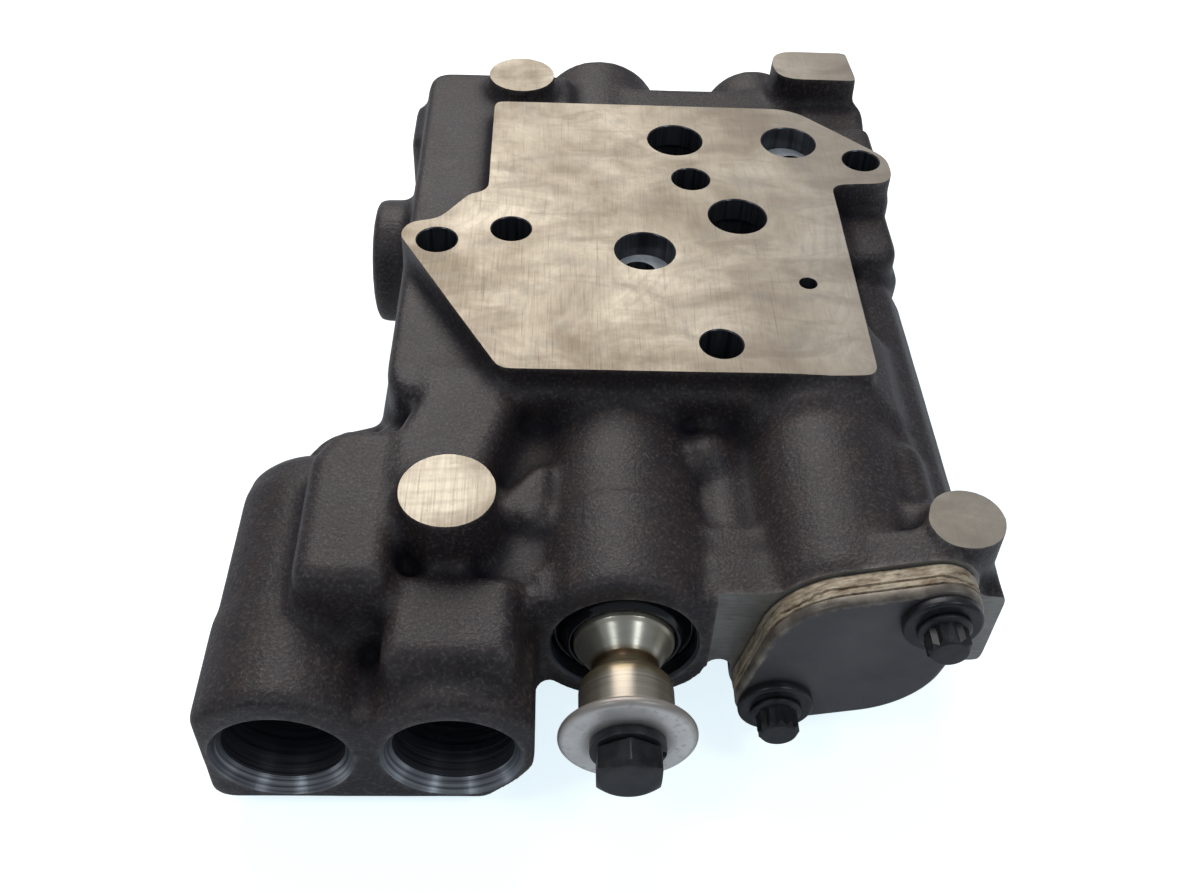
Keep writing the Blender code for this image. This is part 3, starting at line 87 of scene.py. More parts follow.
# Each seated port's seat depth, and its hole's radius and shift in X.
PORT_SEATS = {"supply": (0.0076, 0.0050, -0.0012), "relief": (0.0073, 0.0042, 0.0022)}
CHAMBER_DROP = 0.0068
CHAMBER_ROOM = 0.0012
BOLT_HOLES = {
    "left_ear": (-0.0498, -0.0093),
    "right_ear": (0.0741, 0.0350),
    "centre": (0.0218, 0.0229),
    "left": (-0.0298, -0.0036),
    "front": (0.0245, -0.0501),
}
BOLT_HOLE_RADIUS = 0.0055
EAR_DEPTH = 0.0105
GALLERY_YS = (0.0436, -0.0122)
GALLERY_RADIUS = 0.0160
GALLERY_HALF_WIDTH = 0.0075
# The trough between the barrels and the finger rib beside them: X and Z of each one's axis.
TROUGH = (0.0245, -0.0255)
TROUGH_RADIUS = 0.0100
TROUGH_STATIONS = (0.0640, 0.0962)
TROUGH_HUMP = (0.0205, -0.0735, -0.0190)
TROUGH_HUMP_RADIUS = 0.0075
FINGER = (0.0685, -0.0155)
FINGER_RADIUS = 0.0042
FINGER_STATIONS = (0.0700, 0.0968)
COVER_BOLT_OFFSET = (0.0159, 0.0163)
COVER_RADIUS = 0.0215
COVER_EAR_RADIUS = 0.0092
SHANK_RADIUS = 0.00476
SEAT_GAP = 0.0003
SHANK_HOLE_RADIUS = SHANK_RADIUS + SEAT_GAP
SPOOL_RADIUS = 0.0116
SPOOL_TIP = 0.1429
SPOOL_TIP_RADIUS = 0.01065
END_BOLT_FLATS = 0.0143

VOXEL = 0.00106
FILLET = 0.0013
STOCK = 0.0020
STOPPER_ROOM = 0.0012
RIM = 0.0003
CUT_PAST = 0.004
TURNED_STEPS = 96

CAMERA_LENS = 37.093
CAMERA_PLACE = Vector((-0.0196, -0.2846, 0.2035))
CAMERA_RIGHT = Vector((0.99888, -0.01945, 0.04336))
CAMERA_UP = Vector((-0.01625, 0.71759, 0.69628))
CAMERA_AHEAD = Vector((0.04466, 0.69620, -0.71646))
LAMPS_AIM = Vector((0.0, -0.03, -0.03))
TUBES_AIM = Vector((0.0, -0.05, -0.03))

ALONG = {
    "up": Matrix.Identity(4),
    "front": Matrix.Rotation(math.pi / 2, 4, "X"),
    "back": Matrix.Rotation(-math.pi / 2, 4, "X"),
    "left": Matrix.Rotation(-math.pi / 2, 4, "Y"),
    "right": Matrix.Rotation(math.pi / 2, 4, "Y"),
}


# Node helpers

def fill(tree, socket, value):
    """Links a socket to another's output or sets its value; a colour gets its alpha."""
    if isinstance(value, bpy.types.NodeSocket):
        tree.links.new(value, socket)
    elif isinstance(value, tuple) and socket.type == "RGBA":
        socket.default_value = (*value, 1.0)
    else:
        socket.default_value = value


def wire(tree, kind, inputs=(), **settings):
    """Adds a node, sets its properties, and links or fills each named input."""
    node = tree.nodes.new(kind)
    for key, value in settings.items():
        setattr(node, key, value)
    for key, value in dict(inputs).items():
        fill(tree, node.inputs[key], value)
    return node


def object_coords(tree):
    """The piece's own coordinates, in metres."""
    return wire(tree, "ShaderNodeTexCoord").outputs["Object"]


def placed(tree, coords, scale=(1, 1, 1), turn=(0, 0, 0), shift=(0, 0, 0)):
    """Scales, turns and shifts coordinates."""
    inputs = {"Vector": coords, "Scale": scale, "Rotation": turn, "Location": shift}
    return wire(tree, "ShaderNodeMapping", inputs).outputs["Vector"]


def mottle(tree, coords, scale, detail=3.0, roughness=0.55, distortion=0.0):
    """Cloudy noise between 0 and 1; the scale is in waves per metre."""
    inputs = {"Vector": coords, "Scale": scale, "Detail": detail, "Roughness": roughness,
              "Distortion": distortion}
    return wire(tree, "ShaderNodeTexNoise", inputs).outputs["Fac"]


def between(tree, value, low, high, to_low=0.0, to_high=1.0):
    """Stretches a value from one range to another and stops at its ends."""
    inputs = {"Value": value, "From Min": low, "From Max": high, "To Min": to_low, "To Max": to_high}
    return wire(tree, "ShaderNodeMapRange", inputs).outputs["Result"]


def reckon(tree, operation, a, b=0.0):
    """One sum of two numbers or sockets."""
    return wire(tree, "ShaderNodeMath", {0: a, 1: b}, operation=operation).outputs[0]


def blended(tree, amount, first, second):
    """Mixes two colours by an amount that is kept between 0 and 1."""
    node = wire(tree, "ShaderNodeMix", data_type="RGBA", clamp_factor=True)
    for socket, value in ((node.inputs[0], amount), (node.inputs[6], first), (node.inputs[7], second)):
        fill(tree, socket, value)
    return node.outputs[2]


def raised(tree, height, distance, strength=1.0, below=None):
    """Bumps from a height, laid over the bumps below if there are any."""
    inputs = {"Height": height, "Distance": distance, "Strength": strength}
    if below is not None:
        inputs["Normal"] = below
    return wire(tree, "ShaderNodeBump", inputs).outputs["Normal"]


def new_finish(name):
    """A new material with its tree and its shader."""
    material = bpy.data.materials.new(name)
    material.use_nodes = True
    tree = material.node_tree
    return material, tree, tree.nodes["Principled BSDF"]


def dress(tree, shader, **inputs):
    """Fills the shader's sockets; a name's underscores stand for spaces."""
    for key, value in inputs.items():
        fill(tree, shader.inputs[key.replace("_", " ")], value)


def painted(tree, name):
    """A value that the mesh carries at its points."""
    return wire(tree, "ShaderNodeAttribute", attribute_name=name).outputs["Fac"]


# Finishes

def coated_casting():
    """Dark satin coat over sand-cast iron, rubbed lighter on its edges, with painted shade that darkens it in
    creases and hollows.
    """
    material, tree, shader = new_finish("coated_casting")
    coords = object_coords(tree)
    patches = mottle(tree, coords, 38.0, 4.0, 0.6)
    rust = mottle(tree, placed(tree, coords, shift=(0.1, 0.4, 0.7)), 150.0, 3.0, 0.6)
    sand = mottle(tree, coords, 1150.0, 2.0, 0.55)
    grit = mottle(tree, placed(tree, coords, shift=(0.5, 0.2, 0.1)), 2600.0, 2.0, 0.5)
    pits = mottle(tree, placed(tree, coords, shift=(0.3, 0.1, 0.2)), 330.0, 2.0, 0.5)
    worn = painted(tree, "worn")
    crease_shade = painted(tree, "painted_crease_shade")
    coat = blended(tree, between(tree, patches, 0.35, 0.68), (0.019, 0.0145, 0.016), (0.036, 0.027, 0.027))
    coat = blended(tree, between(tree, rust, 0.50, 0.70, 0.0, 0.5), coat, (0.055, 0.034, 0.028))
    coat = blended(tree, between(tree, sand, 0.54, 0.70, 0.0, 0.50), coat, (0.120, 0.094, 0.086))
    coat = blended(tree, between(tree, sand, 0.46, 0.32, 0.0, 0.65), coat, (0.010, 0.007, 0.009))
    # Painted shade: the coat goes almost black, with a blue cast, in creases and hollows.
    coat = blended(tree, reckon(tree, "MULTIPLY", crease_shade, 0.85), coat, (0.006, 0.006, 0.009))
    rub = reckon(tree, "MULTIPLY", worn, between(tree, pits, 0.38, 0.62, 0.25, 1.0))
    coat = blended(tree, reckon(tree, "MULTIPLY", rub, 0.60), coat, (0.23, 0.20, 0.185))
    rough = between(tree, patches, 0.3, 0.7, 0.44, 0.54)
    rough = reckon(tree, "ADD", rough, between(tree, grit, 0.3, 0.7, -0.08, 0.08))
    rough = reckon(tree, "ADD", rough, reckon(tree, "MULTIPLY", crease_shade, 0.15))
    bumps = raised(tree, pits, 0.00025, 0.25)
    bumps = raised(tree, sand, 0.00020, 0.75, bumps)
    bumps = raised(tree, grit, 0.00008, 0.6, bumps)
    shine = between(tree, crease_shade, 0.0, 1.0, 0.42, 0.12)
    dress(tree, shader, Base_Color=coat, Roughness=rough, Normal=bumps, Specular_IOR_Level=shine)
    return material


def ground_steel():
    """Ground bare face: beige grey, blotched with oil, under fine arcs and crossing scratches, with painted
    shade that darkens it towards +X.
    """
    material, tree, shader = new_finish("ground_steel")
    coords = object_coords(tree)
    split = wire(tree, "ShaderNodeSeparateXYZ", {"Vector": coords})
    clouds = mottle(tree, coords, 26.0, 5.0, 0.62, 0.4)
    stains = mottle(tree, placed(tree, coords, (1.0, 2.4, 1.0), (0, 0, 0.5)), 42.0, 4.0, 0.6, 0.8)
    drops = mottle(tree, placed(tree, coords, shift=(0.2, 0.7, 0.0)), 95.0, 3.0, 0.6, 0.5)
    speck = mottle(tree, coords, 900.0, 2.0, 0.5)
    colour = blended(tree, between(tree, clouds, 0.36, 0.62), (0.33, 0.265, 0.19), (0.62, 0.545, 0.43))
    colour = blended(tree, between(tree, stains, 0.48, 0.66, 0.0, 0.60), colour, (0.25, 0.20, 0.145))
    colour = blended(tree, between(tree, drops, 0.54, 0.70, 0.0, 0.45), colour, (0.33, 0.295, 0.25))
    fine = []
    for turn, stretch in ((0.35, 34.0), (-0.9, 28.0), (1.25, 40.0), (0.12, 46.0)):
        lines = placed(tree, coords, (stretch, 1.0, 1.0), (0, 0, turn), (turn * 0.1, 0.2, 0.0))
        fine.append(mottle(tree, lines, 60.0, 2.0, 0.5))
    scratch = fine[0]
    for more in fine[1:]:
        scratch = reckon(tree, "MAXIMUM", scratch, more)
    arcs = wire(tree, "ShaderNodeTexWave", {
        "Vector": placed(tree, coords, shift=(0.055, -0.012, 0.0)), "Scale": 95.0, "Distortion": 0.6,
        "Detail": 2.0, "Detail Scale": 0.4}, wave_type="RINGS", rings_direction="Z").outputs["Fac"]
    arcs = reckon(tree, "MULTIPLY", arcs, between(tree, clouds, 0.35, 0.65))
    colour = blended(tree, between(tree, scratch, 0.64, 0.80, 0.0, 0.45), colour, (0.22, 0.185, 0.145))
    colour = blended(tree, between(tree, arcs, 0.5, 0.95, 0.0, 0.22), colour, (0.26, 0.22, 0.17))
    colour = blended(tree, between(tree, speck, 0.60, 0.76, 0.0, 0.40), colour, (0.30, 0.25, 0.19))
    # Painted shade: the face grows darker towards +X.
    shade_towards_right = between(tree, split.outputs["X"], 0.010, 0.095, 0.0, 0.62)
    colour = blended(tree, shade_towards_right, colour, (0.27, 0.245, 0.23))
    rough = between(tree, clouds, 0.3, 0.7, 0.54, 0.42)
    rough = reckon(tree, "ADD", rough, between(tree, scratch, 0.5, 0.8, 0.0, 0.12))
    bumps = raised(tree, scratch, 0.00005, 0.4)
    dress(tree, shader, Base_Color=colour, Metallic=0.5, Roughness=rough, Normal=bumps)
    return material


def milled_face():
    """Milled grey face round the oval cover, dulled by oil."""
    material, tree, shader = new_finish("milled_face")
    coords = object_coords(tree)
    clouds = mottle(tree, coords, 60.0, 4.0, 0.6)
    passes = mottle(tree, placed(tree, coords, (3.0, 1.0, 26.0), (0, 0.2, 0)), 60.0, 2.0, 0.5)
    speck = mottle(tree, coords, 700.0, 3.0, 0.6)
    colour = blended(tree, between(tree, clouds, 0.35, 0.65), (0.20, 0.19, 0.175), (0.34, 0.33, 0.31))
    colour = blended(tree, between(tree, passes, 0.45, 0.70, 0.0, 0.30), colour, (0.44, 0.42, 0.39))
    colour = blended(tree, between(tree, speck, 0.60, 0.78, 0.0, 0.4), colour, (0.08, 0.075, 0.07))
    rough = between(tree, clouds, 0.3, 0.7, 0.46, 0.34)
    bumps = raised(tree, passes, 0.00004, 0.5)
    dress(tree, shader, Base_Color=colour, Metallic=0.6, Roughness=rough, Normal=bumps)
    return material


def cut_steel(name, light, dark, roughness, rings=0.4, metallic=0.9):
    """Turned or drilled bare steel: tool rings along Y, which draw each highlight out along the axis."""
    material, tree, shader = new_finish(name)
    coords = object_coords(tree)
    lines = mottle(tree, placed(tree, coords, (0.2, 14.0, 0.2)), 130.0, 2.0, 0.6)
    smear = mottle(tree, coords, 70.0, 3.0, 0.6)
    colour = blended(tree, between(tree, lines, 0.35, 0.65), dark, light)
    colour = blended(tree, between(tree, smear, 0.45, 0.75, 0.0, 0.5), colour, dark)
    rough = between(tree, smear, 0.3, 0.7, roughness * 0.8, roughness * 1.3)
    bumps = raised(tree, lines, 0.00003, rings)
    along = wire(tree, "ShaderNodeCombineXYZ", {"Y": 1.0}).outputs["Vector"]
    dress(tree, shader, Base_Color=colour, Metallic=metallic, Roughness=rough, Normal=bumps,
          Anisotropic=0.75, Tangent=along)
    return material


def straw_spool_steel():
    """Polished spool: straw-gold with a brown neck, plain steel at its tip."""
    material, tree, shader = new_finish("straw_spool_steel")
    coords = object_coords(tree)
    lines = mottle(tree, placed(tree, coords, (0.05, 14.0, 0.05)), 110.0, 3.0, 0.6)
    smear = mottle(tree, placed(tree, coords, (1.0, 3.0, 1.0)), 55.0, 3.0, 0.6)
    level = wire(tree, "ShaderNodeSeparateXYZ", {"Vector": coords}).outputs["Y"]
    gold = blended(tree, between(tree, smear, 0.35, 0.65), (0.36, 0.27, 0.15), (0.54, 0.45, 0.30))
    cone = blended(tree, between(tree, smear, 0.35, 0.65), (0.50, 0.45, 0.35), (0.70, 0.66, 0.56))
    steel = blended(tree, between(tree, lines, 0.35, 0.65), (0.42, 0.36, 0.28), (0.62, 0.56, 0.47))
    colour = blended(tree, between(tree, level, -0.1256, -0.1270), cone, gold)
    colour = blended(tree, between(tree, level, -0.1330, -0.1346), colour, steel)
    colour = blended(tree, between(tree, level, -0.1177, -0.1148), colour, (0.72, 0.70, 0.66))
    off_neck = reckon(tree, "ABSOLUTE", reckon(tree, "ADD", level, 0.1271))
    band = reckon(tree, "SUBTRACT", 1.0, between(tree, off_neck, 0.0004, 0.0017))
    colour = blended(tree, reckon(tree, "MULTIPLY", band, 0.8), colour, (0.15, 0.075, 0.025))
    colour = blended(tree, between(tree, lines, 0.58, 0.80, 0.0, 0.35), colour, (0.24, 0.18, 0.10))
    rough = between(tree, lines, 0.3, 0.7, 0.29, 0.40)
    bumps = raised(tree, lines, 0.00002, 0.15)
    along = wire(tree, "ShaderNodeCombineXYZ", {"Y": 1.0}).outputs["Vector"]
    dress(tree, shader, Base_Color=colour, Metallic=0.85, Roughness=rough, Normal=bumps,
          Anisotropic=0.6, Tangent=along)
    return material


def washer_steel():
    """Satin bare steel of the spool's end washer, grey on its face and brown on its rim."""
    material, tree, shader = new_finish("washer_steel")
    coords = object_coords(tree)
    split = wire(tree, "ShaderNodeSeparateXYZ", {"Vector": placed(tree, coords, shift=-SPOOL_AXIS)})
    across = reckon(tree, "POWER", split.outputs["X"], 2.0)
    upward = reckon(tree, "POWER", split.outputs["Z"], 2.0)
    radius = reckon(tree, "SQRT", reckon(tree, "ADD", across, upward))
    clouds = mottle(tree, coords, 110.0, 4.0, 0.6)
    grain = mottle(tree, coords, 620.0, 3.0, 0.6)
    colour = blended(tree, between(tree, clouds, 0.35, 0.65), (0.78, 0.74, 0.70), (0.93, 0.90, 0.87))
    colour = blended(tree, between(tree, radius, 0.0138, 0.0151, 0.0, 0.75), colour, (0.26, 0.21, 0.17))
    colour = blended(tree, between(tree, radius, 0.0108, 0.0090, 0.0, 0.55), colour, (0.22, 0.19, 0.17))
    colour = blended(tree, between(tree, grain, 0.58, 0.74, 0.0, 0.45), colour, (0.34, 0.31, 0.28))
    rough = between(tree, clouds, 0.3, 0.7, 0.34, 0.46)
    bumps = raised(tree, grain, 0.00012, 0.5)
    dress(tree, shader, Base_Color=colour, Metallic=0.5, Roughness=rough, Normal=bumps)
    return material


def black_oxide():
    """Oily black-oxide steel of bolts, plugs and lock washer."""
    material, tree, shader = new_finish("black_oxide")
    coords = object_coords(tree)
    clouds = mottle(tree, coords, 260.0, 4.0, 0.6)
    specks = mottle(tree, coords, 1500.0, 2.0, 0.5)
    worn = painted(tree, "worn")
    colour = blended(tree, between(tree, clouds, 0.35, 0.65), (0.018, 0.018, 0.020), (0.042, 0.040, 0.042))
    colour = blended(tree, reckon(tree, "MULTIPLY", worn, 0.5), colour, (0.15, 0.145, 0.14))
    rough = between(tree, clouds, 0.3, 0.7, 0.30, 0.44)
    bumps = raised(tree, specks, 0.00003, 0.5)
    dress(tree, shader, Base_Color=colour, Metallic=0.35, Roughness=rough, Normal=bumps)
    return material


def dark_cover_steel():
    """Dark flat cover plate whose coat has flaked off its rim."""
    material, tree, shader = new_finish("dark_cover_steel")
    coords = object_coords(tree)
    clouds = mottle(tree, coords, 48.0, 4.0, 0.6)
    specks = mottle(tree, coords, 1300.0, 2.0, 0.6)
    flakes = mottle(tree, coords, 520.0, 4.0, 0.65)
    streaks = mottle(tree, coords, 75.0, 4.0, 0.65)
    worn = painted(tree, "worn")
    colour = blended(tree, between(tree, clouds, 0.35, 0.65), (0.069, 0.064, 0.068), (0.110, 0.102, 0.105))
    colour = blended(tree, between(tree, specks, 0.62, 0.78, 0.0, 0.3), colour, (0.11, 0.105, 0.10))
    edge = reckon(tree, "ADD", worn, between(tree, flakes, 0.35, 0.65, -0.16, 0.16))
    edge = reckon(tree, "ADD", edge, between(tree, streaks, 0.35, 0.65, -0.22, 0.14))
    bare = blended(tree, between(tree, streaks, 0.40, 0.62), (0.13, 0.105, 0.085), (0.36, 0.315, 0.25))
    colour = blended(tree, between(tree, edge, 0.45, 0.75), colour, bare)
    rough = between(tree, clouds, 0.3, 0.7, 0.34, 0.46)
    bumps = raised(tree, specks, 0.00004, 0.5)
    bumps = raised(tree, edge, 0.00010, 0.3, bumps)
    dress(tree, shader, Base_Color=colour, Metallic=0.25, Roughness=rough, Normal=bumps)
    return material


def weathered_plate():
    """Rusty beige edge of the spacer plate and of the gasket on it."""
    material, tree, shader = new_finish("weathered_plate")
    coords = object_coords(tree)
    flakes = mottle(tree, placed(tree, coords, (1.0, 3.0, 1.0)), 230.0, 4.0, 0.65)
    patches = mottle(tree, coords, 80.0, 3.0, 0.6)
    colour = blended(tree, between(tree, flakes, 0.36, 0.60), (0.16, 0.105, 0.065), (0.54, 0.455, 0.33))
    colour = blended(tree, between(tree, patches, 0.50, 0.68, 0.0, 0.6), colour, (0.36, 0.33, 0.28))
    colour = blended(tree, between(tree, patches, 0.44, 0.30, 0.0, 0.7), colour, (0.22, 0.14, 0.075))
    bumps = raised(tree, flakes, 0.00020, 0.7)
    dress(tree, shader, Base_Color=colour, Metallic=0.2, Roughness=0.58, Normal=bumps)
    return material


def gasket_sheet():
    """Oiled gasket sheet, bare inside its holes."""
    material, tree, shader = new_finish("gasket_sheet")
    coords = object_coords(tree)
    fibres = mottle(tree, coords, 700.0, 3.0, 0.6)
    colour = blended(tree, between(tree, fibres, 0.35, 0.65), (0.045, 0.035, 0.028), (0.15, 0.12, 0.09))
    dress(tree, shader, Base_Color=colour, Roughness=0.8, Normal=raised(tree, fibres, 0.0001, 0.5))
    return material


def oily_rubber():
    """Black rubber of the shaft seal, wet with oil."""
    material, tree, shader = new_finish("oily_rubber")
    coords = object_coords(tree)
    film = mottle(tree, coords, 90.0, 3.0, 0.6)
    colour = blended(tree, film, (0.004, 0.004, 0.005), (0.010, 0.010, 0.012))
    rough = between(tree, film, 0.35, 0.65, 0.10, 0.22)
    dress(tree, shader, Base_Color=colour, Roughness=rough, Normal=raised(tree, film, 0.00005, 0.2))
    return material


def painted_highlight_seat():
    """Seat inside a port, painted near white as a painted highlight where it catches the light."""
    material, tree, shader = new_finish("painted_highlight_seat")
    film = mottle(tree, object_coords(tree), 240.0, 3.0, 0.6)
    colour = blended(tree, between(tree, film, 0.35, 0.65), (0.62, 0.64, 0.66), (0.86, 0.87, 0.88))
    dress(tree, shader, Base_Color=colour, Metallic=0.15, Roughness=0.35)
    return material


# Mesh helpers

def solid(name, bm, finishes, smooth=True, turn="up", place=(0.0, 0.0, 0.0)):
    """Turns a bmesh into a placed object at the origin, with outward faces."""
    bmesh.ops.remove_doubles(bm, verts=bm.verts, dist=1e-7)
    bmesh.ops.recalc_face_normals(bm, faces=bm.faces)
    mesh = bpy.data.meshes.new(name)
    bm.to_mesh(mesh)
    bm.free()
    mesh.transform(Matrix.Translation(Vector(place)) @ ALONG[turn])
    for finish in finishes:
        mesh.materials.append(finish)
    mesh.polygons.foreach_set("use_smooth", [smooth] * len(mesh.polygons))
    item = bpy.data.objects.new(name, mesh)
    bpy.context.scene.collection.objects.link(item)
    return item


def eased(points, reach=0.0004, steps=3, closed=False):
    """Rounds each corner of a profile by cutting it back and bending a small curve across it."""
    points = [Vector(p).to_2d() if len(p) == 2 else Vector(p) for p in points]
    result = []
    count = len(points)
    for index, corner in enumerate(points):
        if not closed and index in (0, count - 1):
            result.append(corner)
            continue
        back = points[index - 1] - corner
        ahead = points[(index + 1) % count] - corner
        cut = min(reach, back.length * 0.45, ahead.length * 0.45)
        start = corner + back.normalized() * cut
        end = corner + ahead.normalized() * cut
        for step in range(steps + 1):
            t = step / steps
            result.append(start * (1 - t) ** 2 + corner * 2 * t * (1 - t) + end * t ** 2)
    return result


def turned(name, profile, finishes, turn, place, closed=False, ease=0.0004, steps=TURNED_STEPS):
    """Spins (station, radius) points round the local Z axis into a solid."""
    points = list(profile)
    if not closed:
        points = [(points[0][0], 0.0)] + points + [(points[-1][0], 0.0)]
    points = eased(points, ease, closed=closed) if ease else [Vector(p) for p in points]
    bm = bmesh.new()
    verts = [bm.verts.new((p.y, 0.0, p.x)) for p in points]
    pairs = list(zip(verts, verts[1:]))
    if closed:
        pairs.append((verts[-1], verts[0]))
    edges = [bm.edges.new(pair) for pair in pairs]
    bmesh.ops.spin(bm, geom=verts + edges, cent=(0, 0, 0), axis=(0, 0, 1), angle=math.tau, steps=steps,
                   use_merge=True)
    bmesh.ops.remove_doubles(bm, verts=bm.verts, dist=1e-7)
    item = solid(name, bm, finishes, True, turn, place)
    item.data.set_sharp_from_angle(angle=math.radians(38))
    return item


def arc(centre, radius, start, end, steps):
    """Points on an arc, between two angles in degrees."""
    angles = [math.radians(start + (end - start) * i / steps) for i in range(steps + 1)]
    return [Vector((centre[0] + radius * math.cos(a), centre[1] + radius * math.sin(a))) for a in angles]


def stacked(name, rings, finishes, turn, place, smooth=True):
    """Skins a stack of matching (outline, height) rings and closes both ends.

    A point's third number lifts it off its ring's height.
    """
    bm = bmesh.new()
    levels = []
    for outline, height in rings:
        lifts = [p[2] if len(p) > 2 else 0.0 for p in outline]
        levels.append([bm.verts.new((p[0], p[1], height + lift)) for p, lift in zip(outline, lifts)])
    for lower, upper in zip(levels, levels[1:]):
        count = len(lower)
        for i in range(count):
            bm.faces.new((lower[i], lower[(i + 1) % count], upper[(i + 1) % count], upper[i]))
    bm.faces.new(list(reversed(levels[0])))
    bm.faces.new(levels[-1])
    item = solid(name, bm, finishes, smooth, turn, place)
    item.data.set_sharp_from_angle(angle=math.radians(38))
    return item


def shrunk(outline, distance):
    """Moves an anticlockwise outline inwards along its own normals."""
    result = []
    count = len(outline)
    for index, point in enumerate(outline):
        before = Vector(outline[index - 1])
        after = Vector(outline[(index + 1) % count])
        along = (after - before).normalized()
        result.append(Vector(point) + Vector((-along.y, along.x)) * distance)
    return result


def cut(item, tool, operation="DIFFERENCE"):
    """Applies one Boolean to the item's mesh, which takes over the tool's finish, and removes the tool."""
    step = item.modifiers.new("cut", "BOOLEAN")
    step.operation = operation
    step.solver = "MANIFOLD"
    step.object = tool
    step.material_mode = "TRANSFER"
    apply_modifiers(item)
    bpy.data.objects.remove(tool)


def bored(item, name, stations, finish, turn, place, steps=TURNED_STEPS):
    """Cuts a turned hole into the item, given as (station, radius) points."""
    cut(item, turned(name, stations, [finish], turn, place, ease=0, steps=steps))


def hexagon_outline(flats, start=0.0):
    """Hexagon of a width across its flats, with its first corner at an angle in degrees."""
    corner = flats / 2 / math.cos(math.pi / 6)
    angles = [math.radians(start + 60 * i) for i in range(6)]
    return [Vector((corner * math.cos(a), corner * math.sin(a))) for a in angles]


def apply_modifiers(item):
    """Bakes the item's modifiers into a plain mesh and takes them off."""
    deps = bpy.context.evaluated_depsgraph_get()
    mesh = bpy.data.meshes.new_from_object(item.evaluated_get(deps), depsgraph=deps)
    mesh.name = item.name
    old = item.data
    item.modifiers.clear()
    item.data = mesh
    bpy.data.meshes.remove(old)


def set_point_value(mesh, name, values):
    """Stores one number at each point of the mesh."""
    layer = mesh.attributes.get(name) or mesh.attributes.new(name, "FLOAT", "POINT")
    layer.data.foreach_set("value", np.asarray(values, dtype=np.float32))


def mesh_arrays(mesh):
    """The mesh's points, its normals at them, and each edge's two point numbers."""
    points = np.empty(len(mesh.vertices) * 3)
    mesh.vertices.foreach_get("co", points)
    normals = np.empty(len(mesh.vertices) * 3)
    mesh.vertices.foreach_get("normal", normals)
    edges = np.empty(len(mesh.edges) * 2, dtype=np.int64)
    mesh.edges.foreach_get("vertices", edges)
    return points.reshape(-1, 3), normals.reshape(-1, 3), edges.reshape(-1, 2)


def neighbour_mean(values, edges, count):
    """Each point's average over the points that its edges lead to."""
    total = np.bincount(edges[:, 0], weights=values[edges[:, 1]], minlength=count)
    total += np.bincount(edges[:, 1], weights=values[edges[:, 0]], minlength=count)
    return total / np.maximum(np.bincount(edges.ravel(), minlength=count), 1)


def spread_out(values, edges, count, rounds):
    """Averages a value over the mesh's edges, a few rounds."""
    for _ in range(rounds):
        values = 0.5 * values + 0.5 * neighbour_mean(values, edges, count)
    return values


# Casting

def stopper(bm, radius, start, end, turn, place):
    """Adds a closed plug to the casting's form, between two stations on an axis."""
    middle = Matrix.Translation((0.0, 0.0, (start + end) / 2))
    stand = Matrix.Translation(Vector(place)) @ ALONG[turn] @ middle
    bmesh.ops.create_cone(bm, cap_ends=True, segments=64, radius1=radius, radius2=radius,
                          depth=abs(end - start), matrix=stand)


def raised_stock(bm, chosen, shift):
    """Leaves machining stock on the chosen flat faces, so that the cut edge stays crisp."""
    faces = [f for f in bm.faces if chosen(f)]
    made = bmesh.ops.extrude_face_region(bm, geom=faces)
    verts = [v for v in made["geom"] if isinstance(v, bmesh.types.BMVert)]
    bmesh.ops.translate(bm, verts=verts, vec=shift)


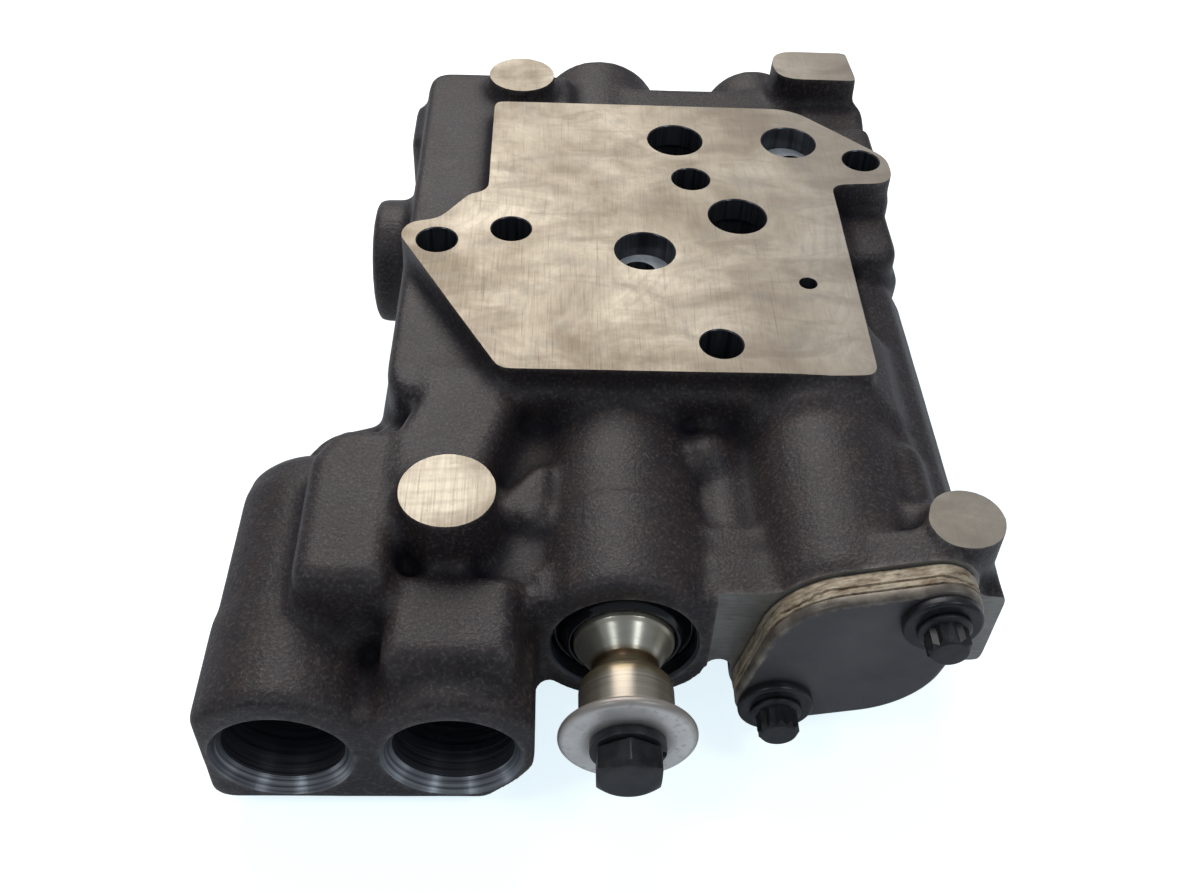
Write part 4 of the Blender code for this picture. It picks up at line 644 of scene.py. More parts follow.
def rough_casting():
    """The casting before machining: holes stopped, stock left and corners filleted."""
    bm = bmesh.new()
    bm.from_mesh(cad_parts["valve_body"].data)
    bmesh.ops.remove_doubles(bm, verts=bm.verts, dist=1e-6)
    bmesh.ops.recalc_face_normals(bm, faces=bm.faces)
    raised_stock(bm, lambda f: f.normal.z > 0.999 and abs(f.calc_center_median().z) < 1e-5, (0, 0, STOCK))
    raised_stock(bm, lambda f: f.normal.y < -0.999 and abs(f.calc_center_median().y - RELIEF_FACE) < 5e-5,
                 (0, -STOCK, 0))
    for x, y, radius, depth in PORTS.values():
        stopper(bm, radius + STOPPER_ROOM, -depth, STOCK, "up", (x, y, 0.0))
    for name, (x, y) in BOLT_HOLES.items():
        bottom = -EAR_DEPTH if name.endswith("ear") else BASE_LEVEL
        stopper(bm, BOLT_HOLE_RADIUS + STOPPER_ROOM, bottom, STOCK, "up", (x, y, 0.0))
    stopper(bm, GALLERY_RADIUS + 0.0005, -REAR_BARREL_END, -BARREL_FRONT, "front", SPOOL_AXIS)
    stopper(bm, COUNTERBORE_RADIUS + COUNTERBORE_RIM + STOPPER_ROOM, -BARREL_FRONT - 0.016, -BARREL_FRONT,
            "front", SPOOL_AXIS)
    stopper(bm, RELIEF_BORE_RADIUS + STOPPER_ROOM, -RELIEF_BORE_END - 0.001, -RELIEF_FACE + STOCK, "front",
            RELIEF_AXIS)
    for place in cover_bolt_places():
        stopper(bm, 0.0058, -RELIEF_FACE - 0.021, -RELIEF_FACE + STOCK, "front", place)
    for x in FRONT_BORES.values():
        for radius, depth in ((FRONT_MOUTH_RADIUS + 0.0008, FRONT_STEP_DEPTH + 0.0015),
                              (FRONT_INNER_RADIUS + 0.0010, FRONT_BORE_DEPTH + 0.0010)):
            stopper(bm, radius, -BLOCK_FRONT - depth, -BLOCK_FRONT, "front", (x, 0.0, FRONT_BORE_LEVEL))
    stopper(bm, STOP_PLUG_BORE_RADIUS + STOPPER_ROOM, 0.0040, STOP_FACE, "left", stop_place())
    stopper(bm, SIDE_PLUG_BORE_RADIUS + 0.0010, 0.0700, RIGHT_WALL, "right", (0.0, *SIDE_PLUG))
    between_barrels(bm)
    mesh = bpy.data.meshes.new("casting")
    bm.to_mesh(mesh)
    bm.free()
    item = bpy.data.objects.new("casting", mesh)
    bpy.context.scene.collection.objects.link(item)
    swell_and_shrink(item, FILLET)
    return item


def stop_place():
    """Where the stop pin's bore crosses the spool's axis."""
    return SPOOL_AXIS + Vector((0.0, STOP_Y, 0.0))


def between_barrels(bm):
    """Fills the valley between the barrels to a shallow trough and rounds up the finger rib."""
    x, z = TROUGH
    stopper(bm, TROUGH_RADIUS, *TROUGH_STATIONS, "front", (x, 0.0, z))
    bmesh.ops.create_icosphere(bm, subdivisions=4, radius=TROUGH_HUMP_RADIUS,
                               matrix=Matrix.Translation(TROUGH_HUMP))
    x, z = FINGER
    stopper(bm, FINGER_RADIUS, *FINGER_STATIONS, "front", (x, 0.0, z))
    bmesh.ops.create_icosphere(bm, subdivisions=3, radius=FINGER_RADIUS,
                               matrix=Matrix.Translation((x, -FINGER_STATIONS[0], z)))


def swell_and_shrink(item, reach):
    """Swells the form, shrinks it back and smooths it, which leaves fillets in its inner corners."""
    for index, amount in enumerate((reach, -reach, 0.0)):
        remesh = item.modifiers.new(f"skin_{index}", "REMESH")
        remesh.mode = "VOXEL"
        remesh.voxel_size = VOXEL
        if amount:
            displace = item.modifiers.new(f"swell_{index}", "DISPLACE")
            displace.strength = amount
            displace.mid_level = 0.0
    smooth = item.modifiers.new("smooth", "SMOOTH")
    smooth.factor = 0.5
    smooth.iterations = 2
    apply_modifiers(item)


def sand_texture(item):
    """Gives the cast skin its slight unevenness, flat at the base."""
    mesh = item.data
    points, normals, _ = mesh_arrays(mesh)
    offsets = np.empty(len(points))
    for index, point in enumerate(points):
        spot = Vector(point)
        offsets[index] = 0.00008 * noise.noise(spot * 80.0) + 0.00002 * noise.noise(spot * 300.0)
    points = points + normals * offsets[:, None]
    points[:, 2] = np.maximum(points[:, 2], BASE_LEVEL)
    mesh.vertices.foreach_set("co", points.ravel())
    mesh.update()


def machined(item, finishes):
    """Cuts every ground face and bore into the casting, each with its own finish."""
    # Of the finishes, bright is the mouths' bored steel, dark a darker copy of it painted as shade on the
    # walls inside the holes, and seat the ports' seat finish, a painted highlight.
    ground, milled, bright, dark, seat = finishes
    cut(item, boxed("port_face_cut", (-0.16, -0.20, 0.0), (0.16, 0.20, 0.03), ground))
    cut(item, boxed("relief_face_cut", (FLANGE_RIGHT + 0.0002, -0.170, -0.080),
                    (0.130, RELIEF_FACE + 0.00005, 0.0010), milled))
    for name, (x, y, radius, depth) in PORTS.items():
        port(item, name, (x, y, 0.0), radius, depth, (dark, seat))
    radius = BOLT_HOLE_RADIUS
    for name, (x, y) in BOLT_HOLES.items():
        bored(item, f"{name}_bolt_cut", [(BASE_LEVEL - CUT_PAST, radius), (-RIM, radius), (0.0, radius + RIM),
                                         (CUT_PAST, radius + RIM)], dark, "up", (x, y, 0.0))
    selector_bore(item, dark)
    bored(item, "relief_bore_cut", [(-RELIEF_BORE_END, RELIEF_BORE_RADIUS), (0.1240, RELIEF_BORE_RADIUS)],
          dark, "front", RELIEF_AXIS)
    for place in cover_bolt_places():
        bored(item, "cover_bolt_cut", [(0.0980, SHANK_HOLE_RADIUS), (0.1240, SHANK_HOLE_RADIUS)], dark,
              "front", place)
    for name, x in FRONT_BORES.items():
        front_bore(item, name, (x, 0.0, FRONT_BORE_LEVEL), dark, bright)
    step = STOP_FACE - STOP_PLUG_BORE_DEPTH
    bored(item, "stop_bore_cut", [
        (0.0040, STOP_PIN_BORE_RADIUS), (step, STOP_PIN_BORE_RADIUS), (step, STOP_PLUG_BORE_RADIUS),
        (0.0760, STOP_PLUG_BORE_RADIUS),
    ], dark, "left", stop_place())
    bored(item, "side_plug_cut", [
        (RIGHT_WALL - SIDE_PLUG_BORE_DEPTH, SIDE_PLUG_BORE_RADIUS),
        (RIGHT_WALL + 0.005, SIDE_PLUG_BORE_RADIUS),
    ], dark, "right", (0.0, *SIDE_PLUG))


def selector_bore(item, dark):
    """Cuts the spool's bore: the rear plug's thread, the galleries and the seal's counterbore."""
    radius = SELECTOR_BORE_RADIUS
    stations = [(-REAR_BARREL_END - CUT_PAST, REAR_THREAD_RADIUS), (-REAR_THREAD_END, REAR_THREAD_RADIUS),
                (-REAR_THREAD_END, radius)]
    for y in GALLERY_YS:
        low, high = -y - GALLERY_HALF_WIDTH, -y + GALLERY_HALF_WIDTH
        stations += [(low, radius), (low, GALLERY_RADIUS), (high, GALLERY_RADIUS), (high, radius)]
    mouth = -BARREL_FRONT
    stations += [
        (COUNTERBORE_SHELF, radius), (COUNTERBORE_SHELF, COUNTERBORE_RADIUS),
        (mouth - 0.0007, COUNTERBORE_RADIUS), (mouth, COUNTERBORE_RADIUS + COUNTERBORE_RIM),
        (mouth + 0.0054, COUNTERBORE_RADIUS + COUNTERBORE_RIM),
    ]
    bored(item, "selector_bore_cut", stations, dark, "front", SPOOL_AXIS)


def front_bore(item, name, place, dark, bright):
    """Cuts a hose bore with its narrow inner end, and its bright chamfered mouth."""
    mouth = -BLOCK_FRONT
    bored(item, f"{name}_front_bore_cut", [
        (mouth - FRONT_BORE_DEPTH, FRONT_INNER_RADIUS), (mouth - FRONT_STEP_DEPTH, FRONT_INNER_RADIUS),
        (mouth - FRONT_STEP_DEPTH + 0.0020, FRONT_BORE_RADIUS), (mouth - 0.0010, FRONT_BORE_RADIUS),
    ], dark, "front", place)
    bored(item, f"{name}_mouth_cut", [
        (mouth - FRONT_MOUTH_DEPTH, FRONT_BORE_RADIUS - 0.0002), (mouth + 0.0002, FRONT_MOUTH_RADIUS),
        (mouth + 0.0050, FRONT_MOUTH_RADIUS),
    ], bright, "front", place)


def port(item, name, place, radius, depth, finishes):
    """Cuts a port with its rubbed rim, and the seat with its painted highlight or the chamber in painted
    shade that it opens on.
    """
    # dark is the bore steel darkened as painted shade, bright the seat's painted highlight.
    dark, bright = finishes
    rim = RIM if name != "pilot" else RIM / 3
    mouth = [(-rim, radius), (0.0, radius + rim), (CUT_PAST, radius + rim)]
    if name in PORT_SEATS:
        level, hole, aside = PORT_SEATS[name]
        inner = Vector(place) + Vector((aside, 0.0, 0.0))
        bored(item, f"{name}_port_throat", [(-depth, hole), (-level + 0.001, hole)], dark, "up", inner, 48)
        tool = turned(f"{name}_port_cut", [(-level, radius)] + mouth, [dark, bright], "up", place, ease=0)
        for face in tool.data.polygons:
            face.material_index = int(face.normal.z < -0.9)
        cut(item, tool)
        return
    if name == "pilot":
        stations = [(-depth, radius)] + mouth
    else:
        chamber = radius + CHAMBER_ROOM
        stations = [(-depth, chamber), (-CHAMBER_DROP, chamber), (-CHAMBER_DROP, radius)] + mouth
    bored(item, f"{name}_port_cut", stations, dark, "up", place)


def boxed(name, low, high, finish):
    """A box between two corners."""
    bm = bmesh.new()
    bmesh.ops.create_cube(bm, size=1.0)
    size = [h - l for l, h in zip(low, high)]
    middle = [(h + l) / 2 for l, h in zip(low, high)]
    bmesh.ops.scale(bm, vec=size, verts=bm.verts)
    bmesh.ops.translate(bm, vec=middle, verts=bm.verts)
    return solid(name, bm, [finish], False)


def edge_wear(mesh):
    """Marks rubbed outer edges of the cast skin, whose slot is the first, and its creases and hollows for
    painted shade.
    """
    bend_scale = 0.28
    hollow_scale = 0.0011
    points, normals, edges = mesh_arrays(mesh)
    count = len(points)
    near = np.stack([neighbour_mean(points[:, axis], edges, count) for axis in range(3)], axis=1)
    bend = spread_out(((points - near) * normals).sum(1) / VOXEL, edges, count, 3)
    slots = np.empty(len(mesh.polygons), dtype=np.int32)
    mesh.polygons.foreach_get("material_index", slots)
    loops = np.empty(len(mesh.loops), dtype=np.int64)
    mesh.loops.foreach_get("vertex_index", loops)
    sizes = np.empty(len(mesh.polygons), dtype=np.int64)
    mesh.polygons.foreach_get("loop_total", sizes)
    per_loop = np.repeat(slots, sizes)
    cast = np.zeros(count)
    cast[loops[per_loop == 0]] = 1
    other = np.zeros(count)
    other[loops[per_loop != 0]] = 1
    rim = spread_out(cast * other, edges, count, 2)
    bend = np.where(cast * other > 0, 0.0, bend)
    worn = np.clip(bend / bend_scale - 0.15, 0, 1) + np.clip(rim * 1.2, 0, 1)
    # Painted shade: creases and broad hollows are marked so that the coat goes almost black there.
    painted_crease_shade = spread_out(np.clip(-bend / bend_scale - 0.1, 0, 1), edges, count, 4)
    broad = np.stack([spread_out(points[:, axis], edges, count, 40) for axis in range(3)], axis=1)
    hollow = np.clip(-((points - broad) * normals).sum(1) / hollow_scale - 0.12, 0, 1)
    hollow = np.where(other > 0, 0.0, hollow)
    set_point_value(mesh, "worn", np.clip(worn, 0, 1))
    set_point_value(mesh, "painted_crease_shade", np.clip(painted_crease_shade * 0.5 + hollow, 0, 1))


def smooth_casting(mesh):
    """Shades the cast skin smooth and keeps every machined edge sharp."""
    mesh.polygons.foreach_set("use_smooth", [True] * len(mesh.polygons))
    edge_slots = {}
    for polygon in mesh.polygons:
        for key in polygon.edge_keys:
            edge_slots.setdefault(key, set()).add(polygon.material_index)
    mesh.set_sharp_from_angle(angle=math.radians(40))
    layer = mesh.attributes.get("sharp_edge") or mesh.attributes.new("sharp_edge", "BOOLEAN", "EDGE")
    for edge in mesh.edges:
        if len(edge_slots.get(edge.key, ())) > 1:
            layer.data[edge.index].value = True


def dressed_casting(coat, finishes):
    """Casts, cuts and shades the valve body."""
    item = rough_casting()
    sand_texture(item)
    item.data.materials.clear()
    item.data.materials.append(coat)
    item.data.polygons.foreach_set("material_index", [0] * len(item.data.polygons))
    machined(item, finishes)
    edge_wear(item.data)
    smooth_casting(item.data)
    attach(item, "body")
    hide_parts("valve_body")


# Pieces on the spool's end and in the barrel's mouth

def stand_in(item, body, node):
    """Lets a dressed piece ride on its body in the CAD node's stead."""
    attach(item, body)
    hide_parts(node)
    return item


def lathed(node, profile, finish, place, body="body", turn="front", closed=False, ease=0.0003,
           steps=64):
    """Turns a piece and lets it stand in for its CAD node."""
    item = turned(f"turned_{node}", profile, [finish], turn, place, closed, ease, steps)
    return stand_in(item, body, node)


def spool_profile():
    """Lands and waists, then the cone, the neck and the tip with its tapped hole."""
    waist = 0.0085
    profile = [(-0.0820, SPOOL_RADIUS - 0.0010), (-0.0810, SPOOL_RADIUS)]
    for low, high in ((0.0580, 0.0700), (0.0093, 0.0518), (-0.0402, -0.0222)):
        profile += [(-high, SPOOL_RADIUS), (-high, waist), (-low, waist), (-low, SPOOL_RADIUS)]
    profile += [
        (0.1205, SPOOL_RADIUS), (0.1212, 0.0109), (0.1258, 0.0080), (0.1264, 0.0076), (0.1281, 0.0075),
        (0.1292, 0.0078), (0.1302, 0.0086), (0.1309, 0.0095), (0.1316, 0.0102), (0.1325, 0.0105),
        (0.1336, SPOOL_TIP_RADIUS),
        (SPOOL_TIP, SPOOL_TIP_RADIUS), (SPOOL_TIP, SHANK_HOLE_RADIUS),
        (SPOOL_TIP - 0.0200, SHANK_HOLE_RADIUS),
    ]
    return profile


def spool_pieces(spool, washer, black):
    """The spool, its big end washer, its split lock washer and its bolt."""
    hole = SHANK_HOLE_RADIUS
    lathed("selector_spool", spool_profile(), spool, SPOOL_AXIS, "spool", ease=0.0002,
           steps=TURNED_STEPS)
    back = SPOOL_TIP + SEAT_GAP
    front = back + 0.0025
    lathed("spool_end_washer", [
        (back, hole), (back, 0.01465), (back + 0.0007, 0.01525), (front - 0.0008, 0.01525), (front, 0.01450),
        (front, hole),
    ], washer, SPOOL_AXIS, "spool", closed=True, ease=0.0004, steps=TURNED_STEPS)
    back = front + SEAT_GAP
    front = back + 0.0023
    ring = lathed("spool_lock_washer", [(back, hole), (back, 0.0084), (front, 0.0084), (front, hole)], black,
                  SPOOL_AXIS, "spool", closed=True, ease=0.0005)
    low = SPOOL_AXIS + Vector((0.0, -front - 0.001, -0.0009))
    high = SPOOL_AXIS + Vector((0.0110, -back + 0.001, 0.0009))
    cut(ring, boxed("lock_washer_split", low, high, black))
    hex_bolt(front + SEAT_GAP, black)


def hex_bolt(seat, black):
    """Hex bolt with its corners turned down to a flat top, a washer face under its head."""
    flats = END_BOLT_FLATS - 0.0005
    corner = flats / 2 / math.cos(math.pi / 6)
    hexagon = eased(hexagon_outline(flats, 90.0), 0.0005, closed=True)
    top = seat + 0.0064
    head = stacked("hex_bolt", [(hexagon, seat + 0.0004), (hexagon, top)], [black], "front", SPOOL_AXIS)
    cut(head, turned("head_chamfer", [
        (seat, corner - 0.0004), (seat + 0.0012, corner + 0.001), (top - 0.0013, corner + 0.001),
        (top - 0.0010, corner - 0.0001), (top - 0.0001, END_BOLT_FLATS / 2 - 0.0007), (top, 0.0056),
    ], [black], "front", SPOOL_AXIS, ease=0.0002), "INTERSECT")
    cut(head, turned("washer_face", [(seat, 0.0067), (seat + 0.0009, 0.0067)], [black], "front",
                     SPOOL_AXIS, ease=0.0002), "UNION")
    cut(head, turned("bolt_shank", [(SPOOL_TIP - 0.0180, SHANK_RADIUS), (seat + 0.0015, SHANK_RADIUS)],
                     [black], "front", SPOOL_AXIS, ease=0.0003), "UNION")
    shade_crisp(head)
    stand_in(head, "spool", "spool_end_bolt")


def shade_crisp(item, angle=30):
    """Shades smooth, with an edge sharp where its faces meet at more than the angle."""
    mesh = item.data
    mesh.polygons.foreach_set("use_smooth", [True] * len(mesh.polygons))
    mesh.set_sharp_from_angle(angle=math.radians(angle))


def seal_pieces(rubber):
    """Shaft seal in the barrel's mouth: its case and its lip, both black and wet."""
    shelf = COUNTERBORE_SHELF + SEAT_GAP
    outer = COUNTERBORE_RADIUS - SEAT_GAP
    inner = outer - 0.0010
    lathed("seal_shell", [
        (shelf, 0.0131), (shelf, outer), (0.1164, outer), (0.1167, outer - 0.0004), (0.1167, inner),
        (shelf + 0.001, inner), (shelf + 0.001, 0.0131),
    ], rubber, SPOOL_AXIS, closed=True, ease=0.0003, steps=TURNED_STEPS)
    lip = inner - 0.00005
    lathed("spool_seal", [
        (shelf + 0.0013, 0.0119), (shelf + 0.0013, lip), (0.1166, lip), (0.1172, 0.0150),
        (0.1181, 0.0144), (0.1190, 0.0138), (0.1197, 0.0131), (0.1200, 0.0125), (0.1188, 0.0119),
    ], rubber, SPOOL_AXIS, closed=True, ease=0.0004, steps=TURNED_STEPS)


# Cover over the relief bore

def oval(steps=26):
    """Two-bolt oval in X and Z, measured from the relief bore."""
    big = COVER_RADIUS
    small = COVER_EAR_RADIUS
    dx, dz = COVER_BOLT_OFFSET
    lean = math.degrees(math.atan2(dz, dx))
    spread = math.degrees(math.acos((big - small) / math.hypot(dx, dz)))
    points = arc((dx, dz), small, lean - spread, lean + spread, steps)
    points += arc((0.0, 0.0), big, lean + spread, lean + 180 - spread, steps)
    points += arc((-dx, -dz), small, lean + 180 - spread, lean + 180 + spread, steps)
    points += arc((0.0, 0.0), big, lean + 180 + spread, lean + 360 - spread, steps)
    return points


def ragged(outline, reach, seed):
    """Breaks a cut edge up: each point moves in or out by a little noise."""
    result = []
    for point in outline:
        shift = noise.noise(Vector((point.x * 900.0, point.y * 900.0, seed)))
        result.append(point + point.normalized() * reach * shift)
    return result


def cover_drillings(item, finish):
    """Cuts the bore's opening and the two bolt holes through a sheet under the cover."""
    low = -RELIEF_FACE - 0.001
    high = -RELIEF_FACE + 0.0100
    bored(item, "cover_opening", [(low, 0.0125), (high, 0.0125)], finish, "front", RELIEF_AXIS)
    for place in cover_bolt_places():
        bored(item, "cover_hole", [(low, SHANK_HOLE_RADIUS), (high, SHANK_HOLE_RADIUS)], finish, "front",
              place, 32)


def cover_bolt_places():
    """Where the upper and the lower bolt of the cover stand."""
    dx, dz = COVER_BOLT_OFFSET
    return (RELIEF_AXIS + Vector((dx, 0.0, dz)), RELIEF_AXIS - Vector((dx, 0.0, dz)))


def cover_pieces(cover, spacer, gasket, black):
    """The spacer plate, the gasket that has cracked along it, the oval cover and its two bolts."""
    base = -RELIEF_FACE + SEAT_GAP
    outline = oval()
    top = base + 0.0040
    split = cracked(ragged(outline, 0.00035, 3.0))
    plate = stacked("spacer_plate", [
        (shrunk(outline, 0.0003), base), (ragged(outline, 0.00025, 1.0), base + 0.0006),
        (ragged(outline, 0.00030, 2.0), base + 0.0016),
        (cracked(ragged(outline, 0.00030, 2.5), -0.0004), top - 0.0002),
        (cracked(shrunk(outline, 0.0007)), top - 0.0002),
    ], [spacer], "front", RELIEF_AXIS)
    cover_drillings(plate, spacer)
    shade_crisp(plate, 50)
    stand_in(plate, "body", "cover_spacer")
    base = top + SEAT_GAP
    sheet = stacked("gasket_sheet", [
        (cracked(shrunk(outline, 0.0007)), top + 0.0001), (split, top + 0.0001),
        (ragged(outline, 0.00030, 5.0), base + 0.0008), (shrunk(outline, 0.0005), base + 0.0010),
    ], [spacer], "front", RELIEF_AXIS)
    cover_drillings(sheet, gasket)
    shade_crisp(sheet, 50)
    stand_in(sheet, "body", "cover_gasket")
    base += 0.0008 + SEAT_GAP
    top = base + 0.0026
    levels = ((0.0003, base), (0.0, base + 0.0003), (0.0, top - 0.0008), (0.0003, top - 0.0003),
              (0.0008, top), (0.0014, top), (0.0020, top), (0.0027, top), (0.0036, top))
    lid = stacked("oval_cover", [(shrunk(outline, inset), height) for inset, height in levels], [cover],
                  "front", RELIEF_AXIS)
    set_point_value(lid.data, "worn", rim_wear(lid.data, outline))
    shade_crisp(lid, 40)
    stand_in(lid, "body", "bore_cover")
    for side, place in zip(("upper", "lower"), cover_bolt_places()):
        back = top + SEAT_GAP
        front = back + 0.0024
        lathed(f"cover_washer_{side}", [
            (back, SHANK_HOLE_RADIUS), (back, 0.0086), (back + 0.0005, 0.0088), (front - 0.0006, 0.0088),
            (front, 0.0082), (front, SHANK_HOLE_RADIUS),
        ], black, place, closed=True, ease=0.0004)
        cover_bolt(side, front + SEAT_GAP, place, black)


def cracked(outline, shift=0.0):
    """Lifts and drops an edge's points along a jagged crack, all by the same shift besides."""
    result = []
    for point in outline:
        jag = noise.noise(Vector((point.x * 170.0, point.y * 170.0, 7.0)))
        jag += 0.6 * noise.noise(Vector((point.x * 620.0, point.y * 620.0, 9.0)))
        result.append((point.x, point.y, 0.0008 * jag + shift))
    return result


def rim_wear(mesh, outline):
    """Wear of each point of the cover: full on its rim, wider at its upper left, none inside."""
    wear = []
    for vertex in mesh.vertices:
        spot = Vector((vertex.co.x - RELIEF_AXIS.x, vertex.co.z - RELIEF_AXIS.z))
        inset = min((spot - point).length for point in outline)
        width = 0.0016 + 0.0014 * max(0.0, (spot.y - spot.x) / (spot.length * 1.42))
        wear.append(min(1.0, max(0.0, 1.0 - (inset - 0.0003) / width)))
    return wear


def fluted_head_nodes():
    """Geometry nodes that draw a many-pointed bolt head out of a star."""
    group = bpy.data.node_groups.new("fluted_head", "GeometryNodeTree")
    sockets = {}
    for label, kind in (("Points", "NodeSocketInt"), ("Point Radius", "NodeSocketFloat"),
                        ("Valley Radius", "NodeSocketFloat"), ("Height", "NodeSocketFloat"),
                        ("Finish", "NodeSocketMaterial")):
        sockets[label] = group.interface.new_socket(label, in_out="INPUT", socket_type=kind).identifier
    group.interface.new_socket("Head", in_out="OUTPUT", socket_type="NodeSocketGeometry")
    given = wire(group, "NodeGroupInput").outputs
    star = wire(group, "GeometryNodeCurveStar", {
        "Points": given["Points"], "Inner Radius": given["Valley Radius"],
        "Outer Radius": given["Point Radius"]})
    tall = wire(group, "ShaderNodeCombineXYZ", {"Z": given["Height"]})
    stem = wire(group, "GeometryNodeCurvePrimitiveLine", {"End": tall.outputs["Vector"]})
    head = wire(group, "GeometryNodeCurveToMesh", {
        "Curve": stem.outputs["Curve"], "Profile Curve": star.outputs["Curve"], "Fill Caps": True})
    made = wire(group, "GeometryNodeRealizeInstances", {"Geometry": head.outputs["Mesh"]})
    dressed = wire(group, "GeometryNodeSetMaterial", {"Geometry": made.outputs["Geometry"],
                                                     "Material": given["Finish"]})
    wire(group, "NodeGroupOutput", {"Head": dressed.outputs["Geometry"]})
    return group, sockets


def fluted_head(name, seat, height, place, finish):
    """Twelve-point head, grown by the nodes and stood on its seat."""
    group, sockets = fluted_head_nodes()
    item = bpy.data.objects.new(name, bpy.data.meshes.new(name))
    bpy.context.scene.collection.objects.link(item)
    step = item.modifiers.new("head", "NODES")
    step.node_group = group
    values = {"Points": 12, "Point Radius": 0.0049, "Valley Radius": 0.0042, "Height": height,
              "Finish": finish}
    for label, value in values.items():
        step[sockets[label]] = value
    apply_modifiers(item)
    item.data.transform(Matrix.Translation(place) @ ALONG["front"] @ Matrix.Translation((0.0, 0.0, seat)))
    return item


def cover_bolt(side, seat, place, black):
    """Flanged bolt whose twelve-point head is turned down at its top."""
    top = seat + 0.0064
    head = fluted_head(f"twelve_point_bolt_{side}", seat + 0.0004, 0.0060, place, black)
    cut(head, turned("point_chamfer", [
        (seat, 0.0058), (top - 0.0013, 0.0058), (top - 0.0011, 0.0048), (top - 0.0002, 0.0041), (top, 0.0038),
    ], [black], "front", place, ease=0.0001, steps=48), "INTERSECT")
    cut(head, turned("bolt_flange", [
        (seat, 0.0059), (seat + 0.0007, 0.0059), (seat + 0.0011, 0.0053), (seat + 0.0014, 0.0044),
    ], [black], "front", place, ease=0.0002, steps=48), "UNION")
    cut(head, turned("bolt_shank", [(-RELIEF_FACE - 0.0180, SHANK_RADIUS), (seat + 0.0010, SHANK_RADIUS)],
                     [black], "front", place, ease=0.0003, steps=32), "UNION")
    shade_crisp(head, 25)
    stand_in(head, "body", f"cover_bolt_{side}")


# Plugs

def socket_plug(node, profile, finish, turn, place):
    """Turned plug with an 8 mm hexagon socket, 6 mm deep, sunk into its top."""
    flats = 0.0080
    depth = 0.0060
    item = turned(f"turned_{node}", profile, [finish], turn, place, ease=0.0003, steps=64)
    top = profile[-1][0]
    hexagon = hexagon_outline(flats)
    rings = [(hexagon, top - depth), (hexagon, top + 0.002)]
    cut(item, stacked("socket", rings, [finish], turn, place, False))
    corner = flats / 2 / math.cos(math.pi / 6)
    mouth = [(top - 0.0007, corner - 0.0008), (top + 0.0003, corner + 0.0004), (top + 0.002, corner + 0.0004)]
    bored(item, "socket_mouth", mouth, finish, turn, place, 48)
    shade_crisp(item)
    stand_in(item, "body", node)


def plug_pieces(black, bright):
    """The rear plug on its washer, the stop pin's plug and the side plug."""
    end = REAR_BARREL_END + SEAT_GAP
    top = end + 0.0012
    lathed("rear_plug_washer", [(end, 0.0143), (end, 0.0167), (top, 0.0167), (top, 0.0143)], bright,
           SPOOL_AXIS, turn="back", closed=True)
    seat = top + SEAT_GAP
    top = seat + 0.0032
    socket_plug("rear_plug", [
        (REAR_BARREL_END - 0.0120, 0.0127), (REAR_BARREL_END - 0.0110, 0.0137), (seat, 0.0137),
        (seat, 0.0172), (top - 0.0009, 0.0172), (top, 0.0163),
    ], black, "back", SPOOL_AXIS)
    top = STOP_FACE - 0.0006
    socket_plug("stop_plug", [
        (STOP_FACE - 0.0110, 0.0089), (STOP_FACE - 0.0102, 0.0097), (top - 0.0008, 0.0097), (top, 0.0089),
    ], black, "left", stop_place())
    lathed("side_plug", [
        (RIGHT_WALL - 0.0057, 0.0082), (RIGHT_WALL - 0.0006, 0.0082), (RIGHT_WALL, 0.0076),
        (RIGHT_WALL + 0.0002, 0.0040),
    ], black, (0.0, *SIDE_PLUG), turn="right", ease=0.0004)


# Stage

def studio():
    """Camera where the photograph was taken from, a white world, three lamps and the floor."""
    scene = bpy.context.scene
    scene.view_settings.view_transform = "Standard"
    camera = bpy.data.cameras.new("camera")
    camera.lens = CAMERA_LENS
    camera.sensor_width = 36.0
    camera.clip_start = 0.01
    eye = bpy.data.objects.new("camera", camera)
    scene.collection.objects.link(eye)
    view = Matrix((CAMERA_RIGHT, CAMERA_UP, -CAMERA_AHEAD)).transposed().to_4x4()
    view.translation = CAMERA_PLACE
    eye.matrix_world = view
    scene.camera = eye

    world = bpy.data.worlds.new("studio_world")
    scene.world = world
    world.use_nodes = True
    tree = world.node_tree
    tree.nodes.clear()
    plain = wire(tree, "ShaderNodeBackground", {"Color": (0.80, 0.89, 1.0), "Strength": 0.26})
    white = wire(tree, "ShaderNodeBackground", {"Color": (1.0, 1.0, 1.0), "Strength": 1.0})
    seen_by_camera(tree, plain, white, wire(tree, "ShaderNodeOutputWorld"))

    lamp("ceiling", (-0.16, 0.62, 0.72), LAMPS_AIM, 0.80, 6.0, (1.0, 0.965, 0.93))
    lamp("left_tube", (-0.55, -0.48, 0.85), TUBES_AIM, 0.26, 1.2, (0.84, 0.93, 1.0))
    lamp("right_tube", (0.52, -0.48, 0.85), TUBES_AIM, 0.26, 1.6, (0.84, 0.93, 1.0))
    floor()


def seen_by_camera(tree, plain, seen, output):
    """Shows one shader to the camera and lets the other light the object."""
    path = wire(tree, "ShaderNodeLightPath")
    mixed = wire(tree, "ShaderNodeMixShader", {
        0: path.outputs["Is Camera Ray"], 1: plain.outputs[0], 2: seen.outputs[0]})
    tree.links.new(mixed.outputs[0], output.inputs["Surface"])


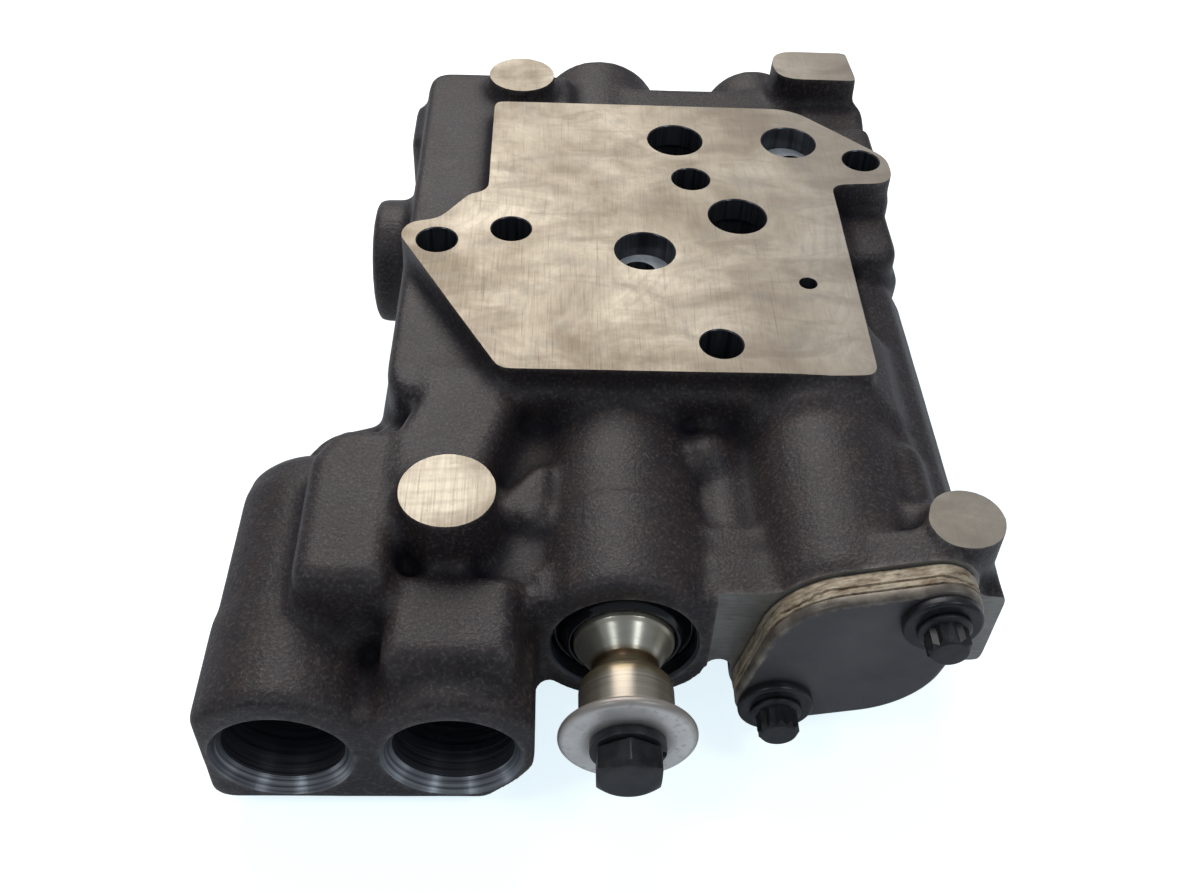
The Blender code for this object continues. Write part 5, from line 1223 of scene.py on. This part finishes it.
def floor():
    """White table that shows only faint blue shadows to the camera."""
    bm = bmesh.new()
    bmesh.ops.create_grid(bm, x_segments=1, y_segments=1, size=3.0)
    bmesh.ops.translate(bm, vec=(0, 0, BASE_LEVEL - 0.0001), verts=bm.verts)
    material, tree, shader = new_finish("white_floor")
    dress(tree, shader, Base_Color=(0.90, 0.93, 0.97), Roughness=0.9, Specular_IOR_Level=0.1)
    shade = wire(tree, "ShaderNodeBsdfDiffuse", {"Color": (0.80, 0.70, 0.62)})
    glow = wire(tree, "ShaderNodeEmission", {"Color": (0.78, 0.91, 0.97), "Strength": 0.94})
    seen = wire(tree, "ShaderNodeAddShader", {0: shade.outputs[0], 1: glow.outputs[0]})
    seen_by_camera(tree, shader, seen, tree.nodes["Material Output"])
    mesh = bpy.data.meshes.new("floor")
    bm.to_mesh(mesh)
    bm.free()
    mesh.materials.append(material)
    table = bpy.data.objects.new("floor", mesh)
    bpy.context.scene.collection.objects.link(table)


def lamp(name, place, aim, size, watts, colour):
    """Round area lamp turned towards its aim."""
    light = bpy.data.lights.new(name, "AREA")
    light.shape = "DISK"
    light.size = size
    light.energy = watts
    light.color = colour
    item = bpy.data.objects.new(name, light)
    item.location = place
    item.rotation_euler = (Vector(aim) - Vector(place)).to_track_quat("-Z", "Y").to_euler()
    bpy.context.scene.collection.objects.link(item)


def recoat(names, finish):
    """Gives CAD nodes a better finish."""
    for name in names:
        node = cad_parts[name]
        node.data.materials.clear()
        node.data.materials.append(finish)


def main():
    """Makes the finishes, dresses every piece and lights it."""
    coat = coated_casting()
    ground = ground_steel()
    mouth_steel = cut_steel("bored_steel", (0.40, 0.41, 0.43), (0.12, 0.12, 0.13), 0.30, 0.7)
    # Painted shade: a darker copy of the bored steel for the walls inside the holes.
    painted_shade_bore = cut_steel("painted_shade_bore", (0.12, 0.125, 0.14), (0.035, 0.036, 0.042), 0.30, 0.3, 0.6)
    bright = cut_steel("bright_steel", (0.62, 0.60, 0.57), (0.36, 0.34, 0.31), 0.28)
    spool = straw_spool_steel()
    washer = washer_steel()
    black = black_oxide()
    cover = dark_cover_steel()
    spacer = weathered_plate()
    gasket = gasket_sheet()
    rubber = oily_rubber()
    milled = milled_face()
    # The ports' seat finish is a painted highlight.
    dressed_casting(coat, (ground, milled, mouth_steel, painted_shade_bore, painted_highlight_seat()))
    spool_pieces(spool, washer, black)
    seal_pieces(rubber)
    cover_pieces(cover, spacer, gasket, black)
    plug_pieces(black, bright)
    recoat(("stop_pin", "spring_seat", "relief_shim_1", "relief_shim_2", "load_piston", "relief_spool",
            "load_spring", "relief_spring"), bright)
    studio()


main()
